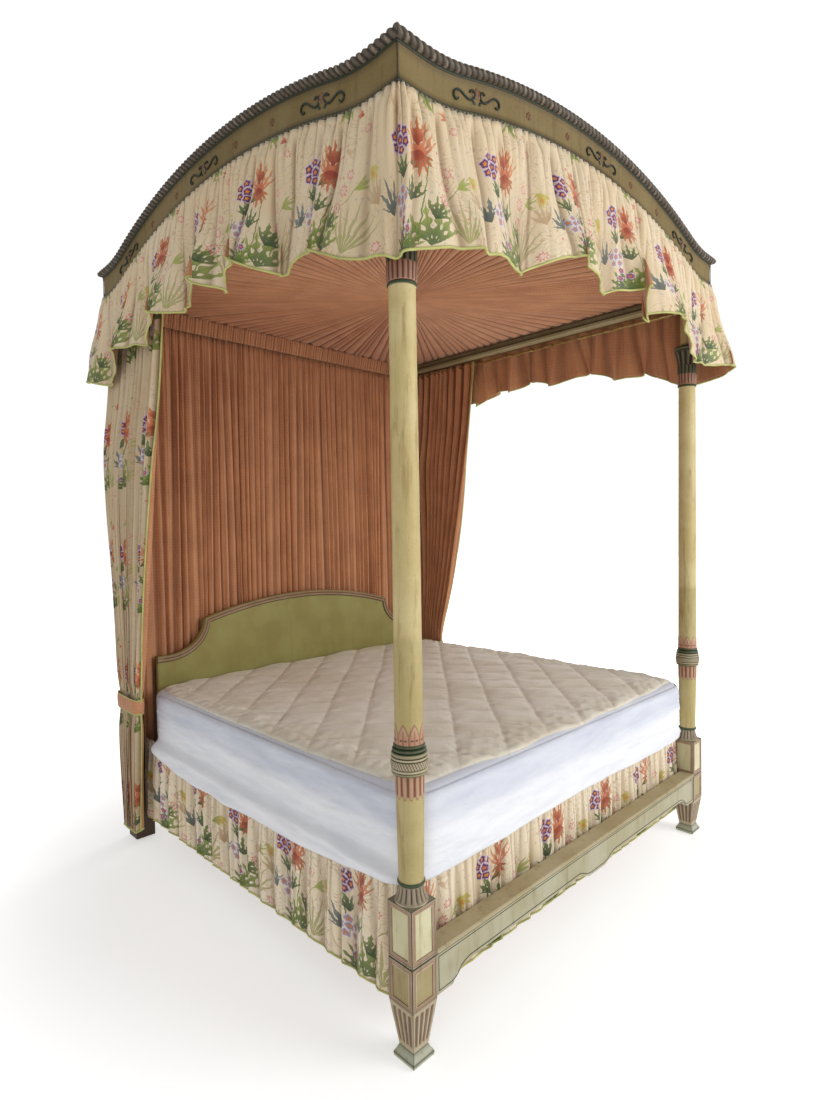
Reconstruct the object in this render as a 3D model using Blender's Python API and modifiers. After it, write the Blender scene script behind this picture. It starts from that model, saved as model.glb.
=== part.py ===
"""Four poster canopy bed with an arched cornice, a gathered valance and curtains that draw.

Metres, +Z up. The foot of the bed faces -Y and the origin is on the floor, at the middle of the plan.
"Out" is a distance outwards from the line through the post centres of a side.
"""

import math

import bmesh
import bpy
from mathutils import Matrix, Vector

# ---- Driving dimensions ------------------------------------------------------------------
GAP = 0.0003                # between pieces that touch
POST_SPACING_X = 2.06       # post centre to post centre across the bed
POST_SPACING_Y = 2.10       # post centre to post centre along the bed
TESTER_Z = 2.80             # underside of the tester frame, where the posts end

# Square foot of each post.
BLOCK_SIDE = 0.107
FOOT_SIDE = 0.091
FOOT_TOP_SIDE = 0.064
FOOT_H = 0.040
LEG_TOP = 0.181
BLOCK_SPLIT = 0.318
BLOCK_TOP = 0.496
BLOCK_GROOVE = 0.003
HEAD_BLOCK_SIDE = 0.100

# Turned part of each post.
TURN_STEPS = 20
SHAFT_R = 0.044
SHAFT_TOP_R = 0.041
HEAD_SHAFT_R = 0.042
RING_R = 0.0455
COLLAR_R = 0.0585
BELL_R = 0.052
VASE_R = 0.039
BELL_TOP = 0.555
FLUTE_Z = 0.816
COLLAR_Z = 0.890
JOINT_Z = 0.972
LOTUS_TOP = 1.045
CAPITAL_R = 0.062
NECK_R = 0.032
CAPITAL_DROP = 0.448        # green ring below the tester
BAND_DROP = 0.382
LEAF_DROP = 0.338
ABACUS_DROP = 0.262
ABACUS_H = 0.022
TENON_R = 0.020
TENON_LENGTH = 0.060
TENON_CLEARANCE = 0.0005
PIN_R = 0.006
PIN_LENGTH = 0.110
PIN_IN_POST = 0.050
PIN_CLEARANCE = 0.0005

# Bedstead.
RAIL_THICK = 0.030
SIDE_RAIL_OUT = -0.020      # outer face of the side rails
SIDE_RAIL_LOW = 0.240
SIDE_RAIL_HIGH = 0.380
FOOT_RAIL_OUT = 0.050
FOOT_RAIL_HIGH = 0.315
FOOT_RAIL_LOW = 0.228
FOOT_RAIL_BRACKET = 0.043   # extra depth beside the posts
BRACKET_WIDTH = 0.095
PENDANT_DEPTH = 0.027
PENDANT_HALF = 0.140
LEDGE_DEPTH = 0.074
LEDGE_THICK = 0.016
LEDGE_NOSE = 0.006          # how far the ledge stands in front of the rail
CLEAT_SIDE = 0.030
CLEAT_Z = 0.262
SLAT_COUNT = 6
SLAT_WIDTH = 0.090
SLAT_THICK = 0.020
BEAM_WIDTH = 0.040
BEAM_DEEP = 0.060
CENTRE_LEG_R = 0.020
CENTRE_LEG_Y = 0.55
BEAM_END_CLEAR = 0.030

# Headboard.
HEADBOARD_FRONT = 0.0925    # from the head posts' centres to the panel's front face
HEADBOARD_THICK = 0.030
HEADBOARD_SIDE_CLEAR = 0.018
HEADBOARD_LOW = 0.190
HEADBOARD_WING = 0.968
HEADBOARD_SHOULDER = 1.145
HEADBOARD_TOP = 1.247
SHOULDER_FROM_EDGE = 0.275
SCOOP_WIDTH = 0.210
HEADBOARD_TRIM_WIDTH = 0.034
HEADBOARD_TRIM_THICK = 0.012

# Bedding.
BOX_SPRING_H = 0.232
BOX_SPRING_CLEAR = 0.004
BOX_SPRING_FOOT_OUT = -0.052
MATTRESS_OUT = -0.020
MATTRESS_FOOT_OUT = -0.012
MATTRESS_H = 0.258
MATTRESS_CORNER_R = 0.110
MATTRESS_EDGE_R = 0.035
PAD_THICK = 0.020
PAD_EDGE_R = 0.008
SKIRT_INNER_OUT = -0.018
SKIRT_FOLD = 0.034
SKIRT_HEM_Z = 0.130
SKIRT_END_CLEAR = 0.012
FOOT_SKIRT_FOLD = 0.030
HEAD_END_CLEAR = 0.0010     # bedding to headboard

# Tester frame and cornice.
TESTER_RAIL_IN = 0.035
TESTER_RAIL_H = 0.050
STRETCHER_WIDTH = 0.060
STRETCHER_H = 0.025
CORNICE_THICK = 0.025
CORNICE_TOP_Z = 0.218       # shoulders of the cornice above the tester's underside
CORNICE_TOP_MOULDING = 0.035
CORNICE_TOP_NOSE = 0.024
CORNICE_FRIEZE = 0.105
CORNICE_BEAD = 0.015
CORNICE_BEAD_NOSE = 0.008
ARCH_RISE = 0.158
ARCH_INSET = 0.100          # flat shoulder inside each post centre
ARCH_POINTS = 17
MITRE_GAP = 0.0006

# Cloth pieces.
VALANCE_DROP = 0.450
VALANCE_THICK = 0.012
VALANCE_HEM_THICK = 0.038
VALANCE_FLARE = 0.082
CEILING_Z = 0.038           # above the tester's underside
CEILING_THICK = 0.010
ROSETTE_R = 0.050
ROSETTE_THICK = 0.025
ROD_R = 0.008
ROD_DROP = 0.030
ROD_BEND = 0.020
CURTAIN_CLEAR = 0.0085      # side curtain to the face of a head post's block
ROD_PAST_HEAD = 0.050       # end of a side rod beyond the head post's centre
ROD_SHORT_OF_FOOT = 0.030
POCKET_CLEARANCE = 0.0025
POCKET_WALL = 0.0045
HEADING_ABOVE_ROD = 0.020
HEADING_BELOW_ROD = 0.070
CURTAIN_FOLD = 0.060
TIE_Z = 0.760
TIE_H = 0.070
TIE_WALL = 0.004
CURTAIN_HEM_Z = 0.110
HEAD_ROD_IN = 0.020         # head rod in front of the head posts' centres
HEAD_CURTAIN_FOLD = 0.036
HEAD_CURTAIN_HEM_Z = 0.420
HEAD_CURTAIN_SIDE_CLEAR = 0.006   # head curtain to the face of a head post's block
HEAD_ROD_SIDE_CLEAR = 0.012

# ---- Sizes that follow from them ------------------------------------------------------------
HALF_X = POST_SPACING_X / 2
HALF_Y = POST_SPACING_Y / 2
BLOCK_HALF = BLOCK_SIDE / 2
SLAT_Z = CLEAT_Z + CLEAT_SIDE + GAP
BOX_SPRING_Z = SLAT_Z + SLAT_THICK + GAP
MATTRESS_Z = BOX_SPRING_Z + BOX_SPRING_H + GAP
PAD_Z = MATTRESS_Z + MATTRESS_H + GAP
HEADBOARD_Y = HALF_Y - HEADBOARD_FRONT
ROD_Z = TESTER_Z - ROD_DROP
POCKET_HALF = ROD_R + POCKET_CLEARANCE + POCKET_WALL
ROD_OUT = HEAD_BLOCK_SIDE / 2 + CURTAIN_CLEAR + POCKET_HALF
CORNICE_BACK_OUT = ROD_OUT - CORNICE_THICK / 2
CORNICE_FACE_OUT = ROD_OUT + CORNICE_THICK / 2
TESTER_RAIL_OUT = CORNICE_BACK_OUT - GAP
CORNICE_TOP = TESTER_Z + CORNICE_TOP_Z
CORNICE_BOTTOM_DROP = CORNICE_TOP_MOULDING + CORNICE_FRIEZE + CORNICE_BEAD
SIDES = {"foot": 0.0, "right": math.pi / 2, "head": math.pi, "left": -math.pi / 2}

PARTS = None
CUTTERS = None


# ---- Scene, materials and basic shapes ------------------------------------------------------
def clear_scene():
    for obj in list(bpy.data.objects):
        bpy.data.objects.remove(obj, do_unlink=True)


def new_collection(name):
    collection = bpy.data.collections.new(name)
    bpy.context.scene.collection.children.link(collection)
    return collection


def make_material(name, colour, roughness, metallic=0.0):
    material = bpy.data.materials.new(name)
    material.use_nodes = True
    shader = material.node_tree.nodes["Principled BSDF"]
    shader.inputs["Base Color"].default_value = (*colour, 1.0)
    shader.inputs["Roughness"].default_value = roughness
    shader.inputs["Metallic"].default_value = metallic
    return material


def add_object(name, data, material=None, location=(0.0, 0.0, 0.0), turn=0.0):
    obj = bpy.data.objects.new(name, data)
    obj.location = location
    obj.rotation_euler = (0.0, 0.0, turn)
    if material is None:
        CUTTERS.objects.link(obj)
        obj.hide_render = True
        obj.display_type = "WIRE"
    else:
        PARTS.objects.link(obj)
        data.materials.append(material)
    return obj


def mesh_from(bm, name):
    mesh = bpy.data.meshes.new(name)
    bm.to_mesh(mesh)
    bm.free()
    return mesh


def box(name, low, high, material=None, edge=0.0):
    """A box between two corners, with its edges rounded off where edge is given."""
    low, high = Vector(low), Vector(high)
    bm = bmesh.new()
    bmesh.ops.create_cube(bm, size=1.0)
    bmesh.ops.scale(bm, vec=high - low, verts=bm.verts)
    obj = add_object(name, mesh_from(bm, name), material, (low + high) / 2)
    if edge:
        add_bevel(obj, edge, 1)
    return obj


def add_bevel(obj, width, segments):
    bevel = obj.modifiers.new("rounded_edges", "BEVEL")
    bevel.width = width
    bevel.segments = segments
    bevel.limit_method = "ANGLE"
    bevel.angle_limit = math.radians(30)


def turned(name, profile, material=None, location=(0.0, 0.0, 0.0), steps=TURN_STEPS, turn=0.0):
    """A turned piece: profile is (radius, height) down the outer side, from axis to axis."""
    bm = bmesh.new()
    points = [bm.verts.new((radius, 0.0, height)) for radius, height in profile]
    for first, second in zip(points, points[1:]):
        bm.edges.new((first, second))
    obj = add_object(name, mesh_from(bm, name), material, location, turn)
    screw = obj.modifiers.new("turning", "SCREW")
    screw.axis = "Z"
    screw.steps = screw.render_steps = steps
    screw.use_merge_vertices = True
    screw.merge_threshold = 0.00001
    screw.use_smooth_shade = steps > 4
    return obj


def square_stack(name, profile, material, location):
    """Square sections one above another: profile is (side, height), top to bottom."""
    corners = [(side / math.sqrt(2), height) for side, height in profile]
    ends = [(0.0, corners[0][1])] + corners + [(0.0, corners[-1][1])]
    return turned(name, ends, material, location, steps=4, turn=math.pi / 4)


def poly_curve(name, points, closed):
    curve = bpy.data.curves.new(name, "CURVE")
    spline = curve.splines.new("POLY")
    spline.points.add(len(points) - 1)
    for point, place in zip(spline.points, points):
        point.co = (*place, 1.0)
    spline.use_cyclic_u = closed
    return curve


def plate(name, outline, thickness, material, location):
    """A flat outline in X and Z, centred on the location's Y."""
    curve = poly_curve(name, [(x, z, 0.0) for x, z in outline], True)
    curve.dimensions = "2D"
    curve.fill_mode = "BOTH"
    curve.extrude = thickness / 2
    obj = add_object(name, curve, material, location)
    obj.rotation_euler = (math.pi / 2, 0.0, 0.0)
    return obj


def tube(name, points, radius, material):
    curve = poly_curve(name, points, False)
    curve.dimensions = "3D"
    curve.bevel_depth = radius
    curve.bevel_resolution = 2
    curve.use_fill_caps = True
    return add_object(name, curve, material)


def boolean(obj, other, operation):
    modifier = obj.modifiers.new(operation.lower(), "BOOLEAN")
    modifier.operation = operation
    modifier.object = other


def bore(obj, name, centre, radius, length, axis="Z"):
    """Cuts a round hole through obj, centred on a point."""
    bm = bmesh.new()
    turn = Matrix.Rotation(math.pi / 2, 4, "X") if axis == "Y" else Matrix.Identity(4)
    bmesh.ops.create_cone(bm, cap_ends=True, segments=16, radius1=radius, radius2=radius,
                          depth=length, matrix=turn)
    cutter = add_object(name, mesh_from(bm, name), None, centre)
    boolean(obj, cutter, "DIFFERENCE")


def skin(sections, name):
    """A closed solid through a row of sections that have the same number of points."""
    bm = bmesh.new()
    rings = [[bm.verts.new(point) for point in section] for section in sections]
    count = len(rings[0])
    for first, second in zip(rings, rings[1:]):
        for i in range(count):
            j = (i + 1) % count
            bm.faces.new((first[i], first[j], second[j], second[i]))
    bm.faces.new(rings[0][::-1])
    bm.faces.new(rings[-1])
    bmesh.ops.recalc_face_normals(bm, faces=bm.faces)
    return mesh_from(bm, name)


# ---- Posts -----------------------------------------------------------------------------------
def foot_block_profile():
    return [
        (BLOCK_SIDE, BLOCK_TOP),
        (BLOCK_SIDE, BLOCK_SPLIT + BLOCK_GROOVE),
        (BLOCK_SIDE - 2 * BLOCK_GROOVE, BLOCK_SPLIT),
        (BLOCK_SIDE, BLOCK_SPLIT - BLOCK_GROOVE),
        (BLOCK_SIDE, LEG_TOP),
        (FOOT_TOP_SIDE, FOOT_H),
        (FOOT_SIDE, FOOT_H / 3),
        (FOOT_SIDE, 0.0),
    ]


def socket(radius, mouth_z, depth):
    """The start of a profile that has a blind hole down its axis."""
    return [(0.0, mouth_z - depth), (radius, mouth_z - depth), (radius, mouth_z)]


def lower_turning(block_top, plain):
    """Everything from the joint in the collar down into the square block."""
    ring = HEAD_SHAFT_R if plain else RING_R
    collar = HEAD_SHAFT_R if plain else COLLAR_R
    shaft = HEAD_SHAFT_R if plain else SHAFT_R
    vase = HEAD_SHAFT_R if plain else VASE_R
    bell = HEAD_SHAFT_R if plain else BELL_R
    start = socket(TENON_R + TENON_CLEARANCE, JOINT_Z, TENON_LENGTH + TENON_CLEARANCE)
    outer = [
        (ring + 0.004 * (not plain), JOINT_Z),
        (collar, JOINT_Z - 0.014),
        (collar, COLLAR_Z + 0.014),
        (ring, COLLAR_Z),
        (shaft, FLUTE_Z),
        (vase, BELL_TOP + 0.006),
        (vase + 0.004 * (not plain), BELL_TOP),
        (vase, BELL_TOP - 0.006),
        (bell, block_top),
        (bell, block_top - 0.010),
        (0.0, block_top - 0.010),
    ]
    return start + outer


def upper_turning(plain):
    """The upper shaft, from its top under the tester down to the tenon in the collar."""
    top = TESTER_Z - GAP
    pin_hole = socket(PIN_R + PIN_CLEARANCE, top, PIN_IN_POST + PIN_CLEARANCE)
    base = [
        (HEAD_SHAFT_R if plain else RING_R, JOINT_Z + GAP),
        (TENON_R, JOINT_Z + GAP),
        (TENON_R, JOINT_Z - TENON_LENGTH),
        (0.0, JOINT_Z - TENON_LENGTH),
    ]
    if plain:
        return pin_hole + [(HEAD_SHAFT_R, top)] + base
    capital = [
        (NECK_R, top),
        (NECK_R, TESTER_Z - ABACUS_DROP + ABACUS_H),
        (CAPITAL_R, TESTER_Z - ABACUS_DROP + ABACUS_H),
        (CAPITAL_R, TESTER_Z - ABACUS_DROP),
        (CAPITAL_R - 0.006, TESTER_Z - ABACUS_DROP - 0.012),
        (RING_R, TESTER_Z - LEAF_DROP),
        (RING_R + 0.002, TESTER_Z - BAND_DROP),
        (RING_R - 0.001, TESTER_Z - CAPITAL_DROP + 0.009),
        (RING_R, TESTER_Z - CAPITAL_DROP),
        (SHAFT_TOP_R, TESTER_Z - CAPITAL_DROP - 0.006),
    ]
    shaft = [(SHAFT_R, LOTUS_TOP)]
    return pin_hole + capital + shaft + base


def make_posts(paint, dark_paint):
    for end, y, plain in (("foot", -HALF_Y, False), ("head", HALF_Y, True)):
        for hand, x in (("left", -HALF_X), ("right", HALF_X)):
            name = f"{end}_post_lower_{hand}"
            if plain:
                profile = [(HEAD_BLOCK_SIDE, BLOCK_TOP), (HEAD_BLOCK_SIDE, 0.0)]
            else:
                profile = foot_block_profile()
            finish = dark_paint if plain else paint
            block = square_stack(name, profile, finish, (x, y, 0.0))
            shape = turned(name + "_turning", lower_turning(BLOCK_TOP, plain), None, (x, y, 0.0))
            boolean(block, shape, "UNION")
            turned(f"{end}_post_upper_{hand}", upper_turning(plain), finish, (x, y, 0.0))


# ---- Bedstead --------------------------------------------------------------------------------
def foot_rail_outline():
    """Lower edge with a deeper bracket at each post and a shallow pendant in the middle."""
    end = HALF_X - BLOCK_HALF - GAP
    low = FOOT_RAIL_LOW
    half = [
        (0.0, low - PENDANT_DEPTH),
        (PENDANT_HALF * 0.45, low - PENDANT_DEPTH),
        (PENDANT_HALF * 0.75, low - PENDANT_DEPTH * 0.45),
        (PENDANT_HALF, low),
        (end - BRACKET_WIDTH * 1.5, low),
        (end - BRACKET_WIDTH, low - FOOT_RAIL_BRACKET * 0.35),
        (end - BRACKET_WIDTH * 0.8, low - FOOT_RAIL_BRACKET),
        (end, low - FOOT_RAIL_BRACKET),
        (end, FOOT_RAIL_HIGH),
    ]
    return half + [(-x, z) for x, z in reversed(half[1:])]


def make_rails(paint, timber):
    front = -HALF_Y - FOOT_RAIL_OUT
    plate("foot_rail", foot_rail_outline(), RAIL_THICK, paint, (0.0, front + RAIL_THICK / 2, 0.0))
    inner_x = HALF_X - BLOCK_HALF - GAP
    ledge_z = FOOT_RAIL_HIGH + GAP
    box("foot_ledge", (-inner_x, front - LEDGE_NOSE, ledge_z),
        (inner_x, front - LEDGE_NOSE + LEDGE_DEPTH, ledge_z + LEDGE_THICK), paint, 0.004)
    rail_x = HALF_X + SIDE_RAIL_OUT
    foot_y = -HALF_Y + BLOCK_HALF + GAP
    head_y = HALF_Y - HEAD_BLOCK_SIDE / 2 - GAP
    head_rail_y = HEADBOARD_Y + HEADBOARD_THICK + GAP
    head_x = HALF_X - HEAD_BLOCK_SIDE / 2 - GAP
    box("head_rail", (-head_x, head_rail_y, SIDE_RAIL_LOW),
        (head_x, head_rail_y + RAIL_THICK, SIDE_RAIL_HIGH), timber)
    for hand, sign in (("left", -1.0), ("right", 1.0)):
        outer, inner = sign * rail_x, sign * (rail_x - RAIL_THICK)
        box(f"side_rail_{hand}", (min(outer, inner), foot_y, SIDE_RAIL_LOW),
            (max(outer, inner), head_y, SIDE_RAIL_HIGH), timber)
        outer, inner = inner - sign * GAP, inner - sign * (GAP + CLEAT_SIDE)
        box(f"slat_cleat_{hand}", (min(outer, inner), foot_y, CLEAT_Z),
            (max(outer, inner), HEADBOARD_Y - GAP, CLEAT_Z + CLEAT_SIDE), timber)


def make_slats(timber):
    half_length = HALF_X + SIDE_RAIL_OUT - RAIL_THICK - GAP
    first = -HALF_Y + BLOCK_HALF + SLAT_WIDTH
    last = HEADBOARD_Y - SLAT_WIDTH
    for i in range(SLAT_COUNT):
        y = first + (last - first) * i / (SLAT_COUNT - 1)
        box(f"slat_{i + 1}", (-half_length, y - SLAT_WIDTH / 2, SLAT_Z),
            (half_length, y + SLAT_WIDTH / 2, SLAT_Z + SLAT_THICK), timber)
    beam_top = SLAT_Z - GAP
    box("centre_beam", (-BEAM_WIDTH / 2, first - SLAT_WIDTH / 2, beam_top - BEAM_DEEP),
        (BEAM_WIDTH / 2, HEADBOARD_Y - BEAM_END_CLEAR, beam_top), timber)
    leg_top = beam_top - BEAM_DEEP - GAP
    leg = [(0.0, leg_top), (CENTRE_LEG_R, leg_top), (CENTRE_LEG_R * 0.8, 0.0), (0.0, 0.0)]
    for end, y in (("foot", -CENTRE_LEG_Y), ("head", CENTRE_LEG_Y)):
        turned(f"centre_leg_{end}", leg, timber, (0.0, y, 0.0), steps=12)


def headboard_edge(inset, points=10):
    """Upper edge of the right half of the headboard, middle to wing, set in by inset."""
    edge_x = HALF_X - HEAD_BLOCK_SIDE / 2 - HEADBOARD_SIDE_CLEAR
    shoulder = edge_x - SHOULDER_FROM_EDGE
    rise = HEADBOARD_TOP - HEADBOARD_SHOULDER
    radius = (shoulder ** 2 + rise ** 2) / (2 * rise)
    line = []
    for i in range(points):
        x = (shoulder - inset * 0.6) * i / (points - 1)
        height = HEADBOARD_TOP - radius + math.sqrt(radius ** 2 - x ** 2)
        line.append((x, height - inset))
    drop = HEADBOARD_SHOULDER - HEADBOARD_WING
    for i in range(points):
        angle = math.pi / 2 * i / (points - 1)
        x = shoulder + SCOOP_WIDTH * (1 - math.cos(angle)) - inset * math.cos(angle)
        z = HEADBOARD_SHOULDER - drop * math.sin(angle) - inset * math.sin(angle)
        if line[-1][1] - z > 0.001:
            line.append((x, z))
    line.append((edge_x, HEADBOARD_WING - inset))
    return line


def make_headboard(paint, trim_paint):
    right = headboard_edge(0.0)
    edge_x = right[-1][0]
    top = [(-x, z) for x, z in reversed(right[1:])] + right
    outline = top + [(edge_x, HEADBOARD_LOW), (-edge_x, HEADBOARD_LOW)]
    plate("headboard_panel", outline, HEADBOARD_THICK, paint,
          (0.0, HEADBOARD_Y + HEADBOARD_THICK / 2, 0.0))
    inner = headboard_edge(HEADBOARD_TRIM_WIDTH)
    low = [(-x, z) for x, z in reversed(inner[1:])] + inner
    trim_y = HEADBOARD_Y - GAP - HEADBOARD_TRIM_THICK / 2
    plate("headboard_moulding", top + low[::-1], HEADBOARD_TRIM_THICK, trim_paint,
          (0.0, trim_y, 0.0))


# ---- Bedding ---------------------------------------------------------------------------------
def rounded_slab(name, low, high, corner, edge, material):
    """A slab with round corners in plan and softened edges."""
    corner_steps = 5
    half_x, half_y = (high[0] - low[0]) / 2, (high[1] - low[1]) / 2
    outline = []
    for quarter, (sx, sy) in enumerate(((1, 1), (-1, 1), (-1, -1), (1, -1))):
        for i in range(corner_steps + 1):
            angle = math.pi / 2 * (quarter + i / corner_steps)
            outline.append((sx * (half_x - corner) + corner * math.cos(angle),
                            sy * (half_y - corner) + corner * math.sin(angle)))
    rings = []
    height = high[2] - low[2]
    for inset, z in ((edge, 0.0), (0.0, edge), (0.0, height - edge), (edge, height)):
        shrink_x, shrink_y = 1 - inset / half_x, 1 - inset / half_y
        rings.append([(x * shrink_x, y * shrink_y, z) for x, y in outline])
    place = ((low[0] + high[0]) / 2, (low[1] + high[1]) / 2, low[2])
    return add_object(name, skin(rings, name), material, place)


def make_bedding(ticking, quilt):
    head = HEADBOARD_Y - HEAD_END_CLEAR
    spring_x = HALF_X + SIDE_RAIL_OUT - RAIL_THICK - BOX_SPRING_CLEAR
    rounded_slab("box_spring", (-spring_x, -HALF_Y - BOX_SPRING_FOOT_OUT, BOX_SPRING_Z),
                 (spring_x, head, BOX_SPRING_Z + BOX_SPRING_H), 0.06, 0.015, ticking)
    half = HALF_X + MATTRESS_OUT
    foot = -HALF_Y - MATTRESS_FOOT_OUT
    rounded_slab("mattress", (-half, foot, MATTRESS_Z), (half, head, MATTRESS_Z + MATTRESS_H),
                 MATTRESS_CORNER_R, MATTRESS_EDGE_R, ticking)
    inset = MATTRESS_EDGE_R * 0.5
    rounded_slab("mattress_pad", (-half + inset, foot + inset, PAD_Z),
                 (half - inset, head - inset, PAD_Z + PAD_THICK), MATTRESS_CORNER_R, PAD_EDGE_R, quilt)


def make_skirts(chintz):
    top = MATTRESS_Z - GAP
    inner = HALF_X + SKIRT_INNER_OUT
    foot = -HALF_Y + BLOCK_HALF + SKIRT_END_CLEAR
    head = HALF_Y - HEAD_BLOCK_SIDE / 2 - SKIRT_END_CLEAR
    for hand, sign in (("left", -1.0), ("right", 1.0)):
        near, far = sign * inner, sign * (inner + SKIRT_FOLD)
        box(f"bed_skirt_{hand}", (min(near, far), foot, SKIRT_HEM_Z),
            (max(near, far), head, top), chintz)
    face = -HALF_Y - FOOT_RAIL_OUT - LEDGE_NOSE + LEDGE_DEPTH + GAP
    half = HALF_X - BLOCK_HALF - SKIRT_END_CLEAR
    box("bed_skirt_foot", (-half, face, SKIRT_HEM_Z), (half, face + FOOT_SKIRT_FOLD, top), chintz)


# ---- Tester, cornice and valance ---------------------------------------------------------------
def arch_rise(along, half_run):
    """How far the arch stands above the shoulders at a distance from the middle of a side."""
    chord = half_run - ARCH_INSET
    if abs(along) >= chord:
        return 0.0
    radius = (chord ** 2 + ARCH_RISE ** 2) / (2 * ARCH_RISE)
    return math.sqrt(radius ** 2 - along ** 2) - radius + ARCH_RISE


def arched_strip(name, side, section, material):
    """A section carried along one side over the arch and mitred at both ends.

    section holds (out, height, arched): an arched height is measured from the cornice's top line.
    """
    across = side in ("foot", "head")
    half_run = HALF_X if across else HALF_Y
    distance = HALF_Y if across else HALF_X
    chord = half_run - ARCH_INSET
    middle = [chord * (2 * i / (ARCH_POINTS - 1) - 1) for i in range(ARCH_POINTS)]
    sections = []
    for along in [None] + middle + [half_run]:
        points = []
        for out, height, arched in section:
            mitre = half_run + out - MITRE_GAP
            a = -mitre if along is None else mitre if along == half_run else along
            base = CORNICE_TOP + arch_rise(a, half_run) if arched else 0.0
            points.append((a, -distance - out, base + height))
        sections.append(points)
    return add_object(name, skin(sections, name), material, turn=SIDES[side])


def cornice_section():
    back, face = CORNICE_BACK_OUT, CORNICE_FACE_OUT
    nose = face + CORNICE_TOP_NOSE
    bead = face + CORNICE_BEAD_NOSE
    frieze = -CORNICE_TOP_MOULDING - CORNICE_FRIEZE
    return [
        (back, TESTER_Z, False),
        (back, 0.0, True),
        (nose - 0.006, 0.0, True),
        (nose, -0.008, True),
        (nose, -CORNICE_TOP_MOULDING + 0.008, True),
        (face + 0.002, -CORNICE_TOP_MOULDING, True),
        (face + 0.002, frieze, True),
        (bead, frieze - 0.004, True),
        (bead, frieze - CORNICE_BEAD, True),
        (face, frieze - CORNICE_BEAD, True),
        (face, TESTER_Z, False),
    ]


def valance_section():
    top = -CORNICE_BOTTOM_DROP - GAP
    hem = top - VALANCE_DROP
    inner = CORNICE_FACE_OUT + GAP
    flare = inner + VALANCE_FLARE
    return [
        (inner, top, True),
        (inner + VALANCE_THICK, top, True),
        (inner + VALANCE_FLARE * 0.42, top - VALANCE_DROP * 0.35, True),
        (flare, hem, True),
        (flare - VALANCE_HEM_THICK, hem, True),
        (inner + 0.010, top - VALANCE_DROP * 0.35, True),
    ]


def make_tester(timber, steel):
    low, high = TESTER_Z, TESTER_Z + TESTER_RAIL_H
    outer_y = HALF_Y + TESTER_RAIL_OUT
    inner_x, outer_x = HALF_X - TESTER_RAIL_IN, HALF_X + TESTER_RAIL_OUT
    for hand, sign in (("left", -1.0), ("right", 1.0)):
        near, far = sign * inner_x, sign * outer_x
        rail = box(f"tester_rail_{hand}", (min(near, far), -outer_y, low),
                   (max(near, far), outer_y, high), timber)
        for end, y in (("foot", -HALF_Y), ("head", HALF_Y)):
            x = sign * HALF_X
            bore(rail, f"pin_hole_{end}_{hand}", (x, y, (low + high) / 2),
                 PIN_R + PIN_CLEARANCE, 2 * TESTER_RAIL_H)
            foot_z = TESTER_Z - PIN_IN_POST
            pin = [(0.0, foot_z + PIN_LENGTH), (PIN_R, foot_z + PIN_LENGTH), (PIN_R, foot_z),
                   (0.0, foot_z)]
            turned(f"tester_pin_{end}_{hand}", pin, steel, (x, y, 0.0), steps=12)
    reach = inner_x - GAP
    inner_y = HALF_Y - TESTER_RAIL_IN
    box("tester_rail_foot", (-reach, -outer_y, low), (reach, -inner_y, high), timber)
    box("tester_rail_head", (-reach, inner_y, low), (reach, outer_y, high), timber)
    box("tester_stretcher", (-HALF_X, -STRETCHER_WIDTH / 2, high + GAP),
        (HALF_X, STRETCHER_WIDTH / 2, high + GAP + STRETCHER_H), timber)


def make_ceiling(lining):
    half_x = HALF_X - TESTER_RAIL_IN - GAP
    half_y = HALF_Y - TESTER_RAIL_IN - GAP
    z = TESTER_Z + CEILING_Z
    box("ceiling_lining", (-half_x, -half_y, z), (half_x, half_y, z + CEILING_THICK), lining)
    top = z - GAP
    rosette = [(0.0, top), (ROSETTE_R, top), (ROSETTE_R, top - ROSETTE_THICK * 0.3),
               (ROSETTE_R * 0.35, top - ROSETTE_THICK), (0.0, top - ROSETTE_THICK)]
    turned("ceiling_rosette", rosette, lining, (0.0, 0.0, 0.0))


# ---- Rods and curtains -----------------------------------------------------------------------
def rod_points(start, end):
    """A straight rod whose two ends turn up to the frame above it."""
    start, end = Vector(start), Vector(end)
    run = (end - start).normalized()
    up = Vector((0.0, 0.0, 1.0))
    bend = []
    for i in range(5):
        angle = math.pi / 2 * i / 4
        bend.append(run * ROD_BEND * (1 - math.sin(angle)) + up * ROD_BEND * (1 - math.cos(angle)))
    first = [start + step for step in reversed(bend)]
    last = [end - run * (step.dot(run)) + up * step.z for step in bend]
    tail = up * (ROD_DROP - GAP)
    return [start + tail] + first + last + [end + tail]


def make_rods(brass):
    start, end = -HALF_Y + ROD_SHORT_OF_FOOT, HALF_Y + ROD_PAST_HEAD
    for hand, x in (("left", -HALF_X - ROD_OUT), ("right", HALF_X + ROD_OUT)):
        tube(f"curtain_rod_{hand}", rod_points((x, start, ROD_Z), (x, end, ROD_Z)), ROD_R, brass)
    half = HALF_X - HEAD_BLOCK_SIDE / 2 - HEAD_ROD_SIDE_CLEAR
    y = HALF_Y - HEAD_ROD_IN
    tube("curtain_rod_head", rod_points((-half, y, ROD_Z), (half, y, ROD_Z)), ROD_R, brass)


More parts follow.
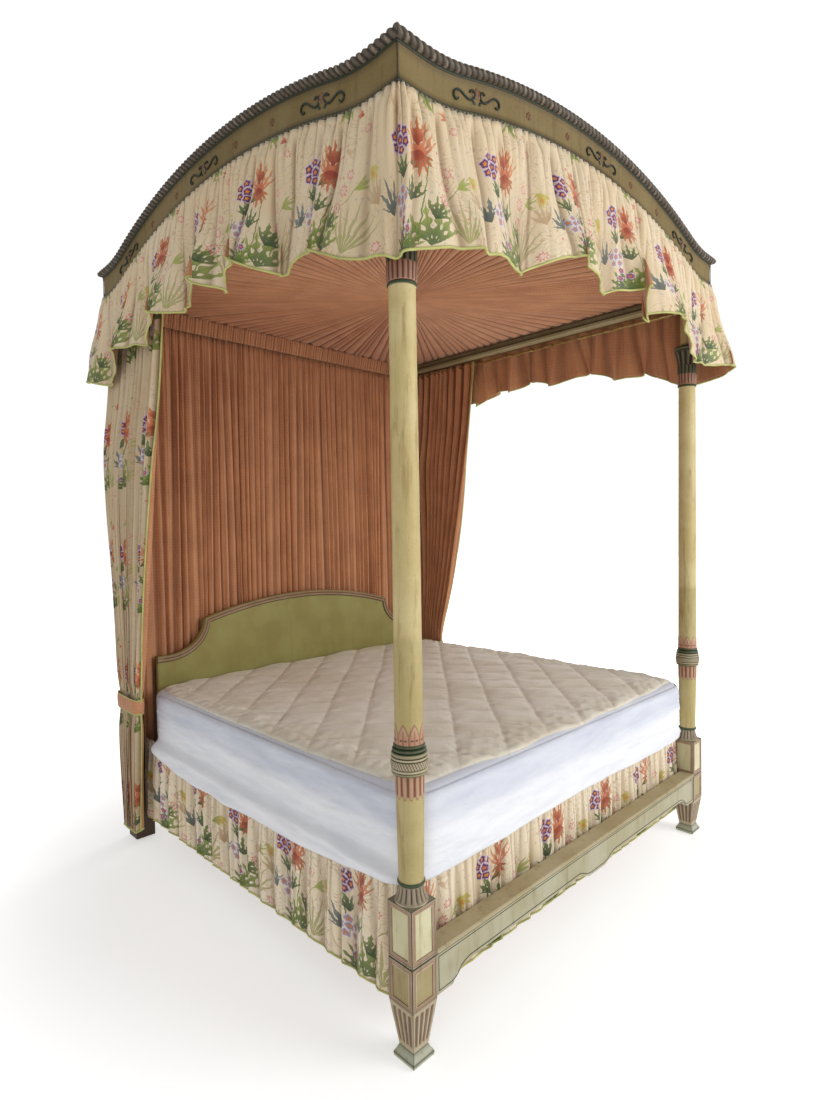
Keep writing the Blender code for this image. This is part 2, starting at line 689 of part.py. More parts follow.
def curtain_edges():
    """Front and back edge of a tied side curtain, as distances from the head post's centre."""
    top = ROD_Z + HEADING_ABOVE_ROD
    neck = ROD_Z - HEADING_BELOW_ROD
    waist = TIE_Z + TIE_H / 2 + 0.02
    span = neck - waist
    return [
        (top, 0.600, -0.020, 0.0),
        (neck, 0.590, -0.020, 0.0),
        (waist + 0.80 * span, 0.540, -0.045, 0.6),
        (waist + 0.66 * span, 0.495, -0.110, 1.0),
        (waist + 0.45 * span, 0.430, -0.080, 1.0),
        (waist + 0.22 * span, 0.340, -0.020, 1.0),
        (waist, 0.235, -0.005, 0.8),
        (TIE_Z - TIE_H / 2 - 0.02, 0.235, -0.005, 0.8),
        (TIE_Z * 0.70, 0.215, 0.000, 1.0),
        (CURTAIN_HEM_Z, 0.190, 0.040, 1.0),
    ]


def make_side_curtains(chintz, lining):
    inner = HALF_X + ROD_OUT - POCKET_HALF
    for hand, sign in (("left", -1.0), ("right", 1.0)):
        sections = []
        for z, front, back, spread in curtain_edges():
            outer = inner + 2 * POCKET_HALF + spread * (CURTAIN_FOLD - 2 * POCKET_HALF)
            y0, y1 = HALF_Y - front, HALF_Y - back
            corners = ((inner, y0), (outer, y0), (outer, y1), (inner, y1))
            sections.append([(sign * x, y, z) for x, y in corners])
        name = f"side_curtain_{hand}"
        curtain = add_object(name, skin(sections, name), chintz)
        top, front, back, _ = curtain_edges()[0]
        bore(curtain, f"rod_pocket_{hand}",
             (sign * (HALF_X + ROD_OUT), HALF_Y - (front + back) / 2, ROD_Z),
             ROD_R + POCKET_CLEARANCE, 2 * (front - back), "Y")
        waist = sections[6]
        xs = [abs(point[0]) for point in waist]
        ys = [point[1] for point in waist]
        make_tie(hand, sign, (min(xs), max(xs)), (min(ys), max(ys)), lining)


def make_tie(hand, sign, xs, ys, material):
    """A flat band round the waist of a curtain."""
    middle = (sign * sum(xs) / 2, sum(ys) / 2, TIE_Z)
    half_x, half_y = (xs[1] - xs[0]) / 2 + GAP, (ys[1] - ys[0]) / 2 + GAP
    name = f"tie_band_{hand}"
    outer = (half_x + TIE_WALL, half_y + TIE_WALL, TIE_H / 2)
    band = box(name, Vector(middle) - Vector(outer), Vector(middle) + Vector(outer), material)
    hole = (half_x, half_y, TIE_H)
    cutter = box(name + "_hole", Vector(middle) - Vector(hole), Vector(middle) + Vector(hole))
    boolean(band, cutter, "DIFFERENCE")


def make_head_curtain(lining):
    half = HALF_X - HEAD_BLOCK_SIDE / 2 - HEAD_CURTAIN_SIDE_CLEAR
    y = HALF_Y - HEAD_ROD_IN
    top = ROD_Z - ROD_R - GAP
    box("head_curtain", (-half, y - HEAD_CURTAIN_FOLD / 2, HEAD_CURTAIN_HEM_Z),
        (half, y + HEAD_CURTAIN_FOLD / 2, top), lining)


def main():
    global PARTS, CUTTERS
    clear_scene()
    PARTS = new_collection("four_poster_canopy_bed")
    CUTTERS = new_collection("cutters")
    paint = make_material("aged_green_paint", (0.52, 0.48, 0.29), 0.55)
    dark_paint = make_material("brown_stain", (0.12, 0.07, 0.04), 0.55)
    olive = make_material("olive_paint", (0.42, 0.41, 0.19), 0.5)
    trim = make_material("tan_moulding_paint", (0.42, 0.30, 0.20), 0.55)
    timber = make_material("plain_timber", (0.42, 0.28, 0.16), 0.7)
    steel = make_material("steel", (0.45, 0.45, 0.46), 0.35, 1.0)
    brass = make_material("aged_brass", (0.50, 0.36, 0.16), 0.4, 1.0)
    chintz = make_material("floral_chintz", (0.82, 0.74, 0.62), 0.8)
    lining = make_material("terracotta_lining", (0.55, 0.27, 0.18), 0.85)
    ticking = make_material("white_ticking", (0.80, 0.82, 0.88), 0.85)
    quilt = make_material("cream_quilting", (0.82, 0.78, 0.70), 0.9)

    make_posts(paint, dark_paint)
    make_rails(paint, timber)
    make_slats(timber)
    make_headboard(olive, trim)
    make_bedding(ticking, quilt)
    make_skirts(chintz)
    make_tester(timber, steel)
    for side in SIDES:
        arched_strip(f"cornice_{side}", side, cornice_section(), olive)
        arched_strip(f"valance_{side}", side, valance_section(), chintz)
    make_ceiling(lining)
    make_rods(brass)
    make_side_curtains(chintz, lining)
    make_head_curtain(lining)


if __name__ == "__main__":
    main()
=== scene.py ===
"""Looks of the four poster canopy bed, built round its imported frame. Metres, +Z up, the foot faces -Y."""

import math

import bpy
import numpy as np
from mathutils import Matrix, Vector


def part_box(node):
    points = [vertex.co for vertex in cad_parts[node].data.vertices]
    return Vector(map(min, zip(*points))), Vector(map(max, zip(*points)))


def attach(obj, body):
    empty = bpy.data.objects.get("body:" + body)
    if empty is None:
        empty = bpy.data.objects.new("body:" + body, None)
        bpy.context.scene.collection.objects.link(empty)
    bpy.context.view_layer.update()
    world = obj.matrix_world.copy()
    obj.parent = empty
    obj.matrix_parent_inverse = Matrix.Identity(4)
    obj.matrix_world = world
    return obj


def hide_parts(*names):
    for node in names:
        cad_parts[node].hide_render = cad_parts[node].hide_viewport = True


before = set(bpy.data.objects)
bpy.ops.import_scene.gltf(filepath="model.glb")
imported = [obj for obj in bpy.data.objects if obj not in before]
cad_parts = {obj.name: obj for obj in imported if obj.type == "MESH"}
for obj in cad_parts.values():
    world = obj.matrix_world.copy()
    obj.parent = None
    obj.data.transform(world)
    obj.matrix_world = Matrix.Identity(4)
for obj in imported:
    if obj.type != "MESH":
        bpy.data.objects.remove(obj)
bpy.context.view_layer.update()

bl_info = {
    "name": "Four Poster Canopy Bed",
    "version": (1, 0, 0),
    "blender": (4, 5, 0),
    "location": "3D View > Sidebar > Canopy Bed",
    "description": "Builds the paint, carving and cloth of a four poster canopy bed",
    "category": "Object",
}

TAU = 2 * math.pi
CAPITAL = 0.062               # from a post's centre to the edge of its capital
POST_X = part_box("foot_post_upper_right")[1].x - CAPITAL
POST_Y = -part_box("foot_post_upper_right")[0].y - CAPITAL
TESTER_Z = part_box("tester_rail_left")[0].z
SIDES = ("foot", "right", "head", "left")
CHINTZ_TILE = (0.46, 0.62)      # repeat of the print, across and up the cloth
PAINTED_LINE = 0.0016         # radii of raised painted lines and of covered cords
BAND_CORD = 0.0034
SKIRT_CORD = 0.0036
HEM_CORD = 0.0042


# ---- Small helpers ---------------------------------------------------------------------------
def deselect():
    bpy.ops.object.select_all(action="DESELECT")


def only(obj):
    deselect()
    obj.select_set(True)
    bpy.context.view_layer.objects.active = obj


def added(name, operator, **settings):
    """Adds a primitive, selected on its own, and names it."""
    deselect()
    operator(**settings)
    obj = bpy.context.object
    obj.name = obj.data.name = name
    return obj


def smoothstep(low, high, value):
    t = np.clip((value - low) / (high - low), 0.0, 1.0)
    return t * t * (3 - 2 * t)


def between(value, rise, fall):
    """One between two soft steps, each given as its start and end."""
    return smoothstep(*rise, value) * (1 - smoothstep(*fall, value))


def ridge(value, width):
    """A soft bump of height one where value is near zero."""
    return np.exp(-(value / width) ** 2)


def mixed(first, second, share):
    """Two colours mixed, point by point."""
    share = np.asarray(share)[..., None]
    return np.asarray(first) * (1 - share) + np.asarray(second) * share


def tinted(colour, factors):
    """A colour with each of its channels scaled."""
    return tuple(c * f for c, f in zip(colour, factors))


def waves(length, count, seed, low=0.6, high=1.5):
    """A function of distance: count waves of uneven width over a length, as a phase in radians."""
    random = np.random.RandomState(seed)
    steps = random.uniform(low, high, count)
    edges = np.concatenate([[0.0], np.cumsum(steps)]) / steps.sum() * length
    phases = TAU * np.arange(count + 1)
    return lambda distance: np.interp(distance, edges, phases)


def puffs(phase):
    """Rounded folds with a sharp crease between them, from -1 to 1."""
    return 2 * np.abs(np.sin(phase / 2)) ** 0.8 - 1


def creases(phase, width=0.40):
    """How far a place lies in the crease between two puffs, 0 to 1."""
    return smoothstep(width, 0.0, np.abs(np.sin(phase / 2)))


def uneven(length, count, seed, low=0.5, high=1.0):
    """A smooth function of distance that wanders between low and high."""
    random = np.random.RandomState(seed)
    values = random.uniform(low, high, count + 1)
    values[-1] = values[0]
    places = np.linspace(0.0, length, count + 1)

    def value(distance):
        i = np.clip(np.searchsorted(places, distance, side="right") - 1, 0, count - 1)
        t = (distance - places[i]) / (places[1] - places[0])
        t = t * t * (3 - 2 * t)
        return values[i] * (1 - t) + values[i + 1] * t

    return value


def points_of(obj):
    flat = np.empty(len(obj.data.vertices) * 3, np.float32)
    obj.data.vertices.foreach_get("co", flat)
    return flat.reshape(-1, 3).astype(float)


def set_points(obj, points):
    obj.data.vertices.foreach_set("co", points.astype(np.float32).ravel())
    obj.data.update()


def placed(place, u, v):
    """The points that place gives for u and v, as rows of x, y and z."""
    return np.stack([np.broadcast_to(np.asarray(a, float), u.shape) for a in place(u, v)], axis=-1)


def mapped(name, across, down, place, closed=False, capped=False):
    """A grid whose points are placed by place(u, v), with u and v from 0 to 1.

    closed joins the two ends of u, and capped closes both ends of v.
    """
    obj = added(name, bpy.ops.mesh.primitive_grid_add, x_subdivisions=across, y_subdivisions=down, size=2.0)
    flat = points_of(obj)
    set_points(obj, placed(place, (flat[:, 0] + 1) / 2, (flat[:, 1] + 1) / 2))
    if closed:
        sew(obj, capped)
    bpy.ops.object.shade_smooth()
    return obj


def sew(obj, capped=False, outward=True):
    """Merges the edges that meet, closes the two open ends of a capped form and turns its faces outwards."""
    only(obj)
    bpy.ops.object.mode_set(mode="EDIT")
    bpy.ops.mesh.select_mode(type="VERT")
    bpy.ops.mesh.select_all(action="SELECT")
    bpy.ops.mesh.remove_doubles(threshold=0.00001)
    if capped:
        bpy.ops.mesh.fill_holes(sides=0)
        bpy.ops.mesh.select_all(action="SELECT")
    if outward:
        bpy.ops.mesh.normals_make_consistent(inside=False)
    bpy.ops.object.mode_set(mode="OBJECT")


def mark(obj, name, values):
    """Stores a number at each point for a material to read."""
    store = obj.data.attributes.new(name, "FLOAT", "POINT")
    store.data.foreach_set("value", np.asarray(values, np.float32))


def paint(obj, colours):
    """Stores one colour for each vertex in the attribute that the paint materials read."""
    layer = obj.data.color_attributes.new("paint", "FLOAT_COLOR", "CORNER")
    corners = np.empty(len(obj.data.loops), np.int32)
    obj.data.loops.foreach_get("vertex_index", corners)
    full = np.concatenate([colours, np.ones((len(colours), 1))], axis=1)[corners]
    layer.data.foreach_set("color", full.astype(np.float32).ravel())


def paint_plain(obj, colour):
    paint(obj, np.tile(colour, (len(obj.data.vertices), 1)))


def set_cloth_uv(obj, width, length, origin):
    """Turns the grid's own UV into metres on the flat cloth, counted from origin."""
    layer = obj.data.uv_layers[0]
    flat = np.empty(len(layer.data) * 2, np.float32)
    layer.data.foreach_get("uv", flat)
    flat = flat.reshape(-1, 2) * np.array([width, length], np.float32) + np.array(origin, np.float32)
    layer.data.foreach_set("uv", flat.ravel())


def row_lengths(place, across, down):
    """Mean length of the cloth along u and along v."""
    u, v = np.meshgrid(np.linspace(0, 1, across), np.linspace(0, 1, down))
    grid = placed(place, u, v)
    wide = np.linalg.norm(np.diff(grid, axis=1), axis=-1).sum(1).mean()
    long = np.linalg.norm(np.diff(grid, axis=0), axis=-1).sum(0).mean()
    return round(float(wide), 2), round(float(long), 2)


def modify(obj, kind, **settings):
    modifier = obj.modifiers.new(kind.lower(), kind)
    for key, value in settings.items():
        setattr(modifier, key, value)
    only(obj)
    bpy.ops.object.modifier_apply(modifier=modifier.name)


def dress(obj, *materials):
    obj.data.materials.clear()
    for material in materials:
        obj.data.materials.append(material)


def seat(obj, body, slot, *nodes):
    """Puts a piece on its body, in place of the plain nodes that it stands for."""
    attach(obj, body)
    if nodes:
        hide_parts(*nodes)


def joined(name, objects):
    deselect()
    for obj in objects:
        obj.select_set(True)
    bpy.context.view_layer.objects.active = objects[0]
    if len(objects) > 1:
        bpy.ops.object.join()
    obj = bpy.context.object
    obj.name = obj.data.name = name
    return obj


def piping(name, points, radius, material, closed=False):
    """A covered cord sewn along an edge."""
    deselect()
    bpy.ops.curve.primitive_bezier_curve_add()
    obj = bpy.context.object
    obj.name = name
    curve = obj.data
    curve.splines.clear()
    spline = curve.splines.new("POLY")
    spline.points.add(len(points) - 1)
    flat = np.concatenate([points, np.ones((len(points), 1))], axis=1)
    spline.points.foreach_set("co", flat.astype(np.float32).ravel())
    spline.use_cyclic_u = closed
    curve.dimensions = "3D"
    curve.bevel_depth = radius
    curve.bevel_resolution = 1
    curve.use_fill_caps = True
    bpy.ops.object.convert(target="MESH")
    obj = bpy.context.object
    obj.data.materials.append(material)
    bpy.ops.object.shade_smooth()
    return obj


# ---- Shader helpers --------------------------------------------------------------------------
class Net:
    """Adds and links shader nodes; a value or a socket may be given for any input."""

    def __init__(self, tree):
        self.tree = tree

    def put(self, kind, inputs=(), **settings):
        node = self.tree.nodes.new(kind)
        for key, value in settings.items():
            setattr(node, key, value)
        pairs = inputs.items() if isinstance(inputs, dict) else enumerate(inputs)
        for key, value in pairs:
            self.feed(node.inputs[key], value)
        return node

    def feed(self, socket, value):
        if value is None:
            return
        if isinstance(value, bpy.types.NodeSocket):
            self.tree.links.new(value, socket)
        elif socket.type == "RGBA":
            socket.default_value = (*value, 1.0) if len(value) == 3 else value
        else:
            socket.default_value = value

    def math(self, operation, a, b=None, c=None):
        return self.put("ShaderNodeMath", [a, b, c], operation=operation).outputs[0]

    def times(self, a, b):
        return self.math("MULTIPLY", a, b)

    def plus(self, a, b):
        return self.math("ADD", a, b)

    def minus(self, a, b):
        return self.math("SUBTRACT", a, b)

    def vector(self, operation, a, b=None, c=None):
        node = self.put("ShaderNodeVectorMath", [a, b, c], operation=operation)
        scalar = operation in ("LENGTH", "DISTANCE", "DOT_PRODUCT")
        return node.outputs["Value" if scalar else "Vector"]

    def mix(self, share, a, b, blend="MIX"):
        node = self.put("ShaderNodeMix", data_type="RGBA", blend_type=blend)
        self.feed(node.inputs["Factor"], share)
        self.feed(node.inputs["A"], a)
        self.feed(node.inputs["B"], b)
        return node.outputs["Result"]

    def ramp(self, value, low, high, start=0.0, end=1.0):
        """value from low..high to start..end, smoothly and clamped."""
        node = self.put("ShaderNodeMapRange", [value, low, high, start, end],
                        interpolation_type="SMOOTHSTEP")
        return node.outputs[0]

    def noise(self, place, scale, detail=3.0, roughness=0.55, distortion=0.0):
        node = self.put("ShaderNodeTexNoise", {"Vector": place, "Scale": scale, "Detail": detail,
                                               "Roughness": roughness, "Distortion": distortion})
        return node.outputs["Fac"]

    def stretch(self, place, scale):
        return self.vector("MULTIPLY", place, scale)

    def scaled(self, place, factor):
        """A vector times one number."""
        node = self.put("ShaderNodeVectorMath", [place], operation="SCALE")
        self.feed(node.inputs["Scale"], factor)
        return node.outputs["Vector"]

    def where(self, kind):
        """Object for places in metres, UV for places on the flat cloth."""
        return self.put("ShaderNodeTexCoord").outputs[kind]

    def axes(self, place):
        return self.put("ShaderNodeSeparateXYZ", [place]).outputs

    def stored(self, name):
        """A number that mark() stored on the piece."""
        return self.put("ShaderNodeAttribute", attribute_name=name).outputs["Fac"]

    def group(self, name, inputs):
        node = self.put("ShaderNodeGroup", node_tree=bpy.data.node_groups[name])
        for key, value in inputs.items():
            self.feed(node.inputs[key], value)
        return node.outputs


def new_group(name, inputs, outputs):
    """A shader node group; inputs and outputs are (name, kind, default) lists."""
    tree = bpy.data.node_groups.new(name, "ShaderNodeTree")
    kinds = {"value": "NodeSocketFloat", "colour": "NodeSocketColor", "vector": "NodeSocketVector"}
    for label, kind, default in inputs:
        socket = tree.interface.new_socket(label, in_out="INPUT", socket_type=kinds[kind])
        if default is not None:
            socket.default_value = default
    for label, kind in outputs:
        tree.interface.new_socket(label, in_out="OUTPUT", socket_type=kinds[kind])
    net = Net(tree)
    return net, net.put("NodeGroupInput").outputs, net.put("NodeGroupOutput").inputs


def new_material(name, roughness, **uniform):
    """A material, its shader net and its Principled node, with uniform values on the sockets."""
    material = bpy.data.materials.new(name)
    material.use_nodes = True
    shader = material.node_tree.nodes["Principled BSDF"]
    shader.inputs["Roughness"].default_value = roughness
    for key, value in uniform.items():
        shader.inputs[key.replace("_", " ")].default_value = value
    return material, Net(material.node_tree), shader


def bump(net, shader, height, strength, distance):
    node = net.put("ShaderNodeBump", {"Strength": strength, "Distance": distance, "Height": height})
    net.feed(shader.inputs["Normal"], node.outputs[0])


# ---- Node groups that several materials share --------------------------------------------------
def make_weave_group():
    """Plain woven threads: a height from crossing warp and weft, and a faint colour fleck."""
    net, given, out = new_group(
        "weave",
        [("UV", "vector", None), ("Threads per metre", "value", 900.0)],
        [("Height", "value"), ("Fleck", "value")],
    )
    split = net.axes(net.scaled(given["UV"], given["Threads per metre"]))
    warp = net.math("SINE", net.times(split[0], math.pi))
    weft = net.math("SINE", net.times(split[1], math.pi))
    both = net.plus(net.math("ABSOLUTE", warp), net.math("ABSOLUTE", weft))
    net.feed(out["Height"], net.times(both, 0.5))
    slub = net.noise(net.stretch(given["UV"], (60.0, 700.0, 1.0)), 1.0, 2.0)
    net.feed(out["Fleck"], slub)


def make_age_group():
    """Aged paint over timber: brown glaze in streaks and chips down to the wood."""
    net, given, out = new_group(
        "aged_paint",
        [("Place", "vector", None), ("Colour", "colour", None), ("Glaze", "value", 0.5),
         ("Chips", "value", 0.5), ("Streak scale", "value", 9.0)],
        [("Colour", "colour"), ("Roughness", "value"), ("Height", "value")],
    )
    place = given["Place"]
    streaks = net.noise(net.stretch(place, (5.0, 5.0, 0.55)), given["Streak scale"], 6.0, 0.62, 0.4)
    cloud = net.noise(place, 6.0, 4.0)
    fine = net.noise(place, 160.0, 3.0, 0.6)
    hue = net.mix(net.ramp(cloud, 0.35, 0.65), (0.93, 0.90, 0.80), (1.07, 1.08, 1.10))
    base = net.mix(1.0, given["Colour"], hue, "MULTIPLY")
    glaze = net.times(net.ramp(streaks, 0.50, 0.74), given["Glaze"])
    glazed = net.mix(glaze, base, net.mix(1.0, base, (0.42, 0.28, 0.17), "MULTIPLY"))
    speck = net.times(net.ramp(fine, 0.60, 0.70), 0.28)
    specked = net.mix(speck, glazed, net.mix(1.0, glazed, (0.55, 0.42, 0.30), "MULTIPLY"))
    patches = net.noise(place, 23.0, 8.0, 0.72, 0.6)
    limit = net.minus(0.80, net.times(given["Chips"], 0.16))
    chips = net.ramp(net.minus(patches, limit), 0.0, 0.012)
    bared = net.mix(chips, specked, (0.085, 0.052, 0.028))
    net.feed(out["Colour"], bared)
    net.feed(out["Roughness"], net.ramp(fine, 0.3, 0.7, 0.42, 0.62))
    grain = net.times(fine, 0.35)
    net.feed(out["Height"], net.minus(grain, chips))


def tile_place(net, given):
    """Place of a printed point from the motif's middle, on a repeat that wraps round."""
    away = net.vector("SUBTRACT", given["UV"], given["Middle"])
    return net.vector("WRAP", away, net.scaled(given["Tile"], 0.5), net.scaled(given["Tile"], -0.5))


def wrapped(net, angle, wedge):
    """An angle folded into the wedge round zero."""
    half = net.times(wedge, 0.5)
    return net.math("WRAP", angle, half, net.times(half, -1.0))


MOTIF_INPUTS = [("UV", "vector", None), ("Tile", "vector", None), ("Middle", "vector", None)]


def make_posy_group():
    """Round flowers set in a ring: count flowers, each with petals, an eye and a dark rim."""
    net, given, out = new_group(
        "posy",
        MOTIF_INPUTS + [("Count", "value", 5.0), ("Spread", "value", 0.03), ("Radius", "value", 0.02),
                        ("Petals", "value", 5.0), ("Turn", "value", 0.0)],
        [("Mask", "value"), ("Eye", "value"), ("Rim", "value"), ("Shade", "value")],
    )
    place = tile_place(net, given)
    split = net.axes(place)
    reach = net.vector("LENGTH", place)
    angle = net.plus(net.math("ARCTAN2", split[1], split[0]), given["Turn"])
    folded = wrapped(net, angle, net.math("DIVIDE", TAU, given["Count"]))
    fx = net.minus(net.times(reach, net.math("COSINE", folded)), given["Spread"])
    fy = net.times(reach, net.math("SINE", folded))
    own = net.math("SQRT", net.plus(net.times(fx, fx), net.times(fy, fy)))
    turn = net.times(net.math("ARCTAN2", fy, fx), given["Petals"])
    lobe = net.plus(0.80, net.times(net.math("COSINE", turn), 0.20))
    share = net.math("DIVIDE", own, net.times(given["Radius"], lobe))
    net.feed(out["Mask"], net.ramp(share, 0.96, 1.04, 1.0, 0.0))
    net.feed(out["Eye"], net.ramp(share, 0.30, 0.40, 1.0, 0.0))
    net.feed(out["Rim"], net.ramp(share, 0.68, 0.80))
    net.feed(out["Shade"], net.ramp(net.math("COSINE", turn), -1.0, 0.4))


def make_fan_group():
    """Petals or leaves that spread from one point: pointed, with a vein down each."""
    net, given, out = new_group(
        "fan",
        MOTIF_INPUTS + [("Aim", "value", 1.57), ("Spread", "value", 1.2), ("Gap", "value", 0.35),
                        ("Length", "value", 0.09), ("Width", "value", 0.012), ("Teeth", "value", 0.25)],
        [("Mask", "value"), ("Along", "value"), ("Vein", "value"), ("Edge", "value")],
    )
    place = tile_place(net, given)
    split = net.axes(place)
    reach = net.vector("LENGTH", place)
    raw = net.minus(net.math("ARCTAN2", split[1], split[0]), given["Aim"])
    angle = net.math("WRAP", raw, math.pi, -math.pi)
    folded = wrapped(net, angle, given["Gap"])
    shorter = net.times(net.math("ABSOLUTE", angle), 0.35)
    length = net.times(given["Length"], net.minus(1.0, shorter))
    along = net.math("DIVIDE", reach, length)
    belly = net.math("SINE", net.times(net.math("POWER", along, 0.8), math.pi))
    teeth = net.math("SINE", net.times(along, 26.0))
    edge = net.plus(1.0, net.times(teeth, given["Teeth"]))
    width = net.times(net.times(given["Width"], belly), edge)
    side = net.math("ABSOLUTE", net.times(reach, net.math("SINE", folded)))
    inside = net.ramp(net.minus(width, side), 0.0, 0.0012)
    held = net.math("LESS_THAN", net.math("ABSOLUTE", angle), given["Spread"])
    near = net.math("LESS_THAN", along, 1.0)
    net.feed(out["Mask"], net.times(inside, net.times(held, near)))
    net.feed(out["Along"], along)
    net.feed(out["Vein"], net.ramp(side, 0.0, 0.0018, 1.0, 0.0))
    net.feed(out["Edge"], net.ramp(net.minus(width, side), 0.0010, 0.0030, 1.0, 0.0))


def make_stem_group():
    """A thin stalk that bends: across = bend * up squared, between two heights."""
    net, given, out = new_group(
        "stem",
        MOTIF_INPUTS + [("Lean", "value", 0.0), ("Bend", "value", 2.0), ("Length", "value", 0.1),
                        ("Width", "value", 0.002)],
        [("Mask", "value")],
    )
    split = net.axes(tile_place(net, given))
    x, y = split[0], split[1]
    curve = net.times(net.times(y, y), given["Bend"])
    line = net.plus(curve, net.times(y, given["Lean"]))
    off = net.math("ABSOLUTE", net.minus(x, line))
    inside = net.ramp(net.minus(given["Width"], off), 0.0, 0.0010)
    over = net.math("GREATER_THAN", y, 0.0)
    under = net.math("LESS_THAN", y, given["Length"])
    net.feed(out["Mask"], net.times(inside, net.times(over, under)))


# ---- Printed cottons ---------------------------------------------------------------------------
POSIES = (
    # middle, count, spread, radius, petals, turn, petal, rim, eye
    ((0.098, 0.395), 6, 0.031, 0.0205, 5, 0.3, (0.13, 0.030, 0.15), (0.66, 0.50, 0.66), (0.80, 0.30, 0.02)),
    ((0.100, 0.393), 1, 0.000, 0.0210, 5, 0.9, (0.15, 0.035, 0.17), (0.70, 0.54, 0.68), (0.80, 0.26, 0.02)),
    ((0.120, 0.235), 5, 0.028, 0.0185, 5, 0.8, (0.40, 0.32, 0.46), (0.78, 0.72, 0.74), (0.72, 0.24, 0.03)),
    ((0.118, 0.238), 1, 0.000, 0.0180, 5, 0.8, (0.36, 0.28, 0.42), (0.78, 0.72, 0.74), (0.74, 0.26, 0.03)),
    ((0.152, 0.165), 3, 0.020, 0.0160, 5, 0.2, (0.24, 0.07, 0.22), (0.70, 0.55, 0.66), (0.72, 0.20, 0.02)),
)
RINGS = (
    # middle, radius
    ((0.300, 0.300), 0.019),
    ((0.322, 0.348), 0.016),
    ((0.285, 0.245), 0.020),
    ((0.420, 0.125), 0.017),
    ((0.372, 0.480), 0.015),
)
DARK_LEAF, LEAF, LIME = (0.030, 0.070, 0.018), (0.17, 0.25, 0.040), (0.36, 0.41, 0.07)
GREY_LEAF, FLAME, RUST = (0.20, 0.24, 0.22), (0.66, 0.21, 0.07), (0.33, 0.045, 0.02)
FANS = (
    # middle, aim, spread, gap, length, width, teeth, root colour, tip colour
    ((0.160, 0.098), 1.75, 1.40, 0.38, 0.120, 0.0085, 0.35, DARK_LEAF, LEAF),
    ((0.172, 0.100), 1.30, 1.10, 0.44, 0.075, 0.0065, 0.30, (0.10, 0.16, 0.02), LIME),
    ((0.225, 0.105), 1.25, 0.85, 0.36, 0.155, 0.0095, 0.45, (0.07, 0.13, 0.02), LIME),
    ((0.240, 0.185), 0.95, 0.95, 0.42, 0.095, 0.0078, 0.35, DARK_LEAF, (0.24, 0.30, 0.05)),
    ((0.185, 0.235), 1.60, 0.90, 0.44, 0.085, 0.0070, 0.30, DARK_LEAF, LEAF),
    ((0.062, 0.205), 2.05, 0.90, 0.46, 0.110, 0.0088, 0.22, (0.06, 0.09, 0.08), GREY_LEAF),
    ((0.120, 0.290), 1.80, 0.80, 0.42, 0.080, 0.0070, 0.20, DARK_LEAF, (0.16, 0.24, 0.06)),
    ((0.160, 0.330), 0.60, 0.50, 0.40, 0.060, 0.0070, 0.20, DARK_LEAF, (0.20, 0.26, 0.06)),
    ((0.205, 0.350), 1.57, 0.80, 0.26, 0.150, 0.0068, 0.30, (0.58, 0.12, 0.04), (0.74, 0.36, 0.16)),
    ((0.205, 0.395), 1.57, 0.60, 0.30, 0.090, 0.0075, 0.30, RUST, FLAME),
    ((0.205, 0.385), -1.57, 1.10, 0.34, 0.085, 0.0080, 0.25, RUST, FLAME),
    ((0.400, 0.345), -0.70, 0.62, 0.36, 0.070, 0.0110, 0.0, (0.50, 0.44, 0.06), (0.66, 0.55, 0.16)),
    ((0.405, 0.340), -0.90, 0.30, 0.30, 0.045, 0.0060, 0.0, (0.62, 0.42, 0.08), (0.66, 0.16, 0.06)),
    ((0.345, 0.300), 0.40, 0.60, 0.40, 0.070, 0.0065, 0.0, LIME, (0.42, 0.44, 0.16)),
    ((0.250, 0.600), -1.30, 0.70, 0.34, 0.105, 0.0090, 0.40, (0.07, 0.12, 0.02), LIME),
    ((0.355, 0.520), 2.80, 0.90, 0.60, 0.040, 0.0055, 0.0, (0.50, 0.08, 0.04), (0.72, 0.26, 0.14)),
    ((0.330, 0.110), 1.30, 0.70, 0.22, 0.185, 0.0048, 0.10, (0.40, 0.38, 0.14), (0.58, 0.50, 0.26)),
    ((0.440, 0.230), 1.90, 0.80, 0.30, 0.100, 0.0065, 0.20, (0.52, 0.34, 0.18), (0.64, 0.50, 0.30)),
    ((0.045, 0.050), 0.90, 0.80, 0.34, 0.100, 0.0065, 0.15, (0.44, 0.40, 0.16), (0.58, 0.50, 0.28)),
)
STEMS = (
    # middle, lean, bend, length, colour
    ((0.205, 0.120), 0.05, 0.3, 0.250, (0.16, 0.23, 0.03)),
    ((0.118, 0.220), -0.16, 0.2, 0.160, (0.14, 0.20, 0.05)),
    ((0.255, 0.150), 0.10, 3.6, 0.200, (0.26, 0.32, 0.06)),
    ((0.300, 0.520), -0.15, 1.2, 0.100, (0.36, 0.38, 0.12)),
)


def motif(net, kind, place, middle, **values):
    """One motif of the repeat, printed round its middle."""
    return net.group(kind, {"UV": place, "Tile": (*CHINTZ_TILE, 1000.0), "Middle": (*middle, 0.0), **values})


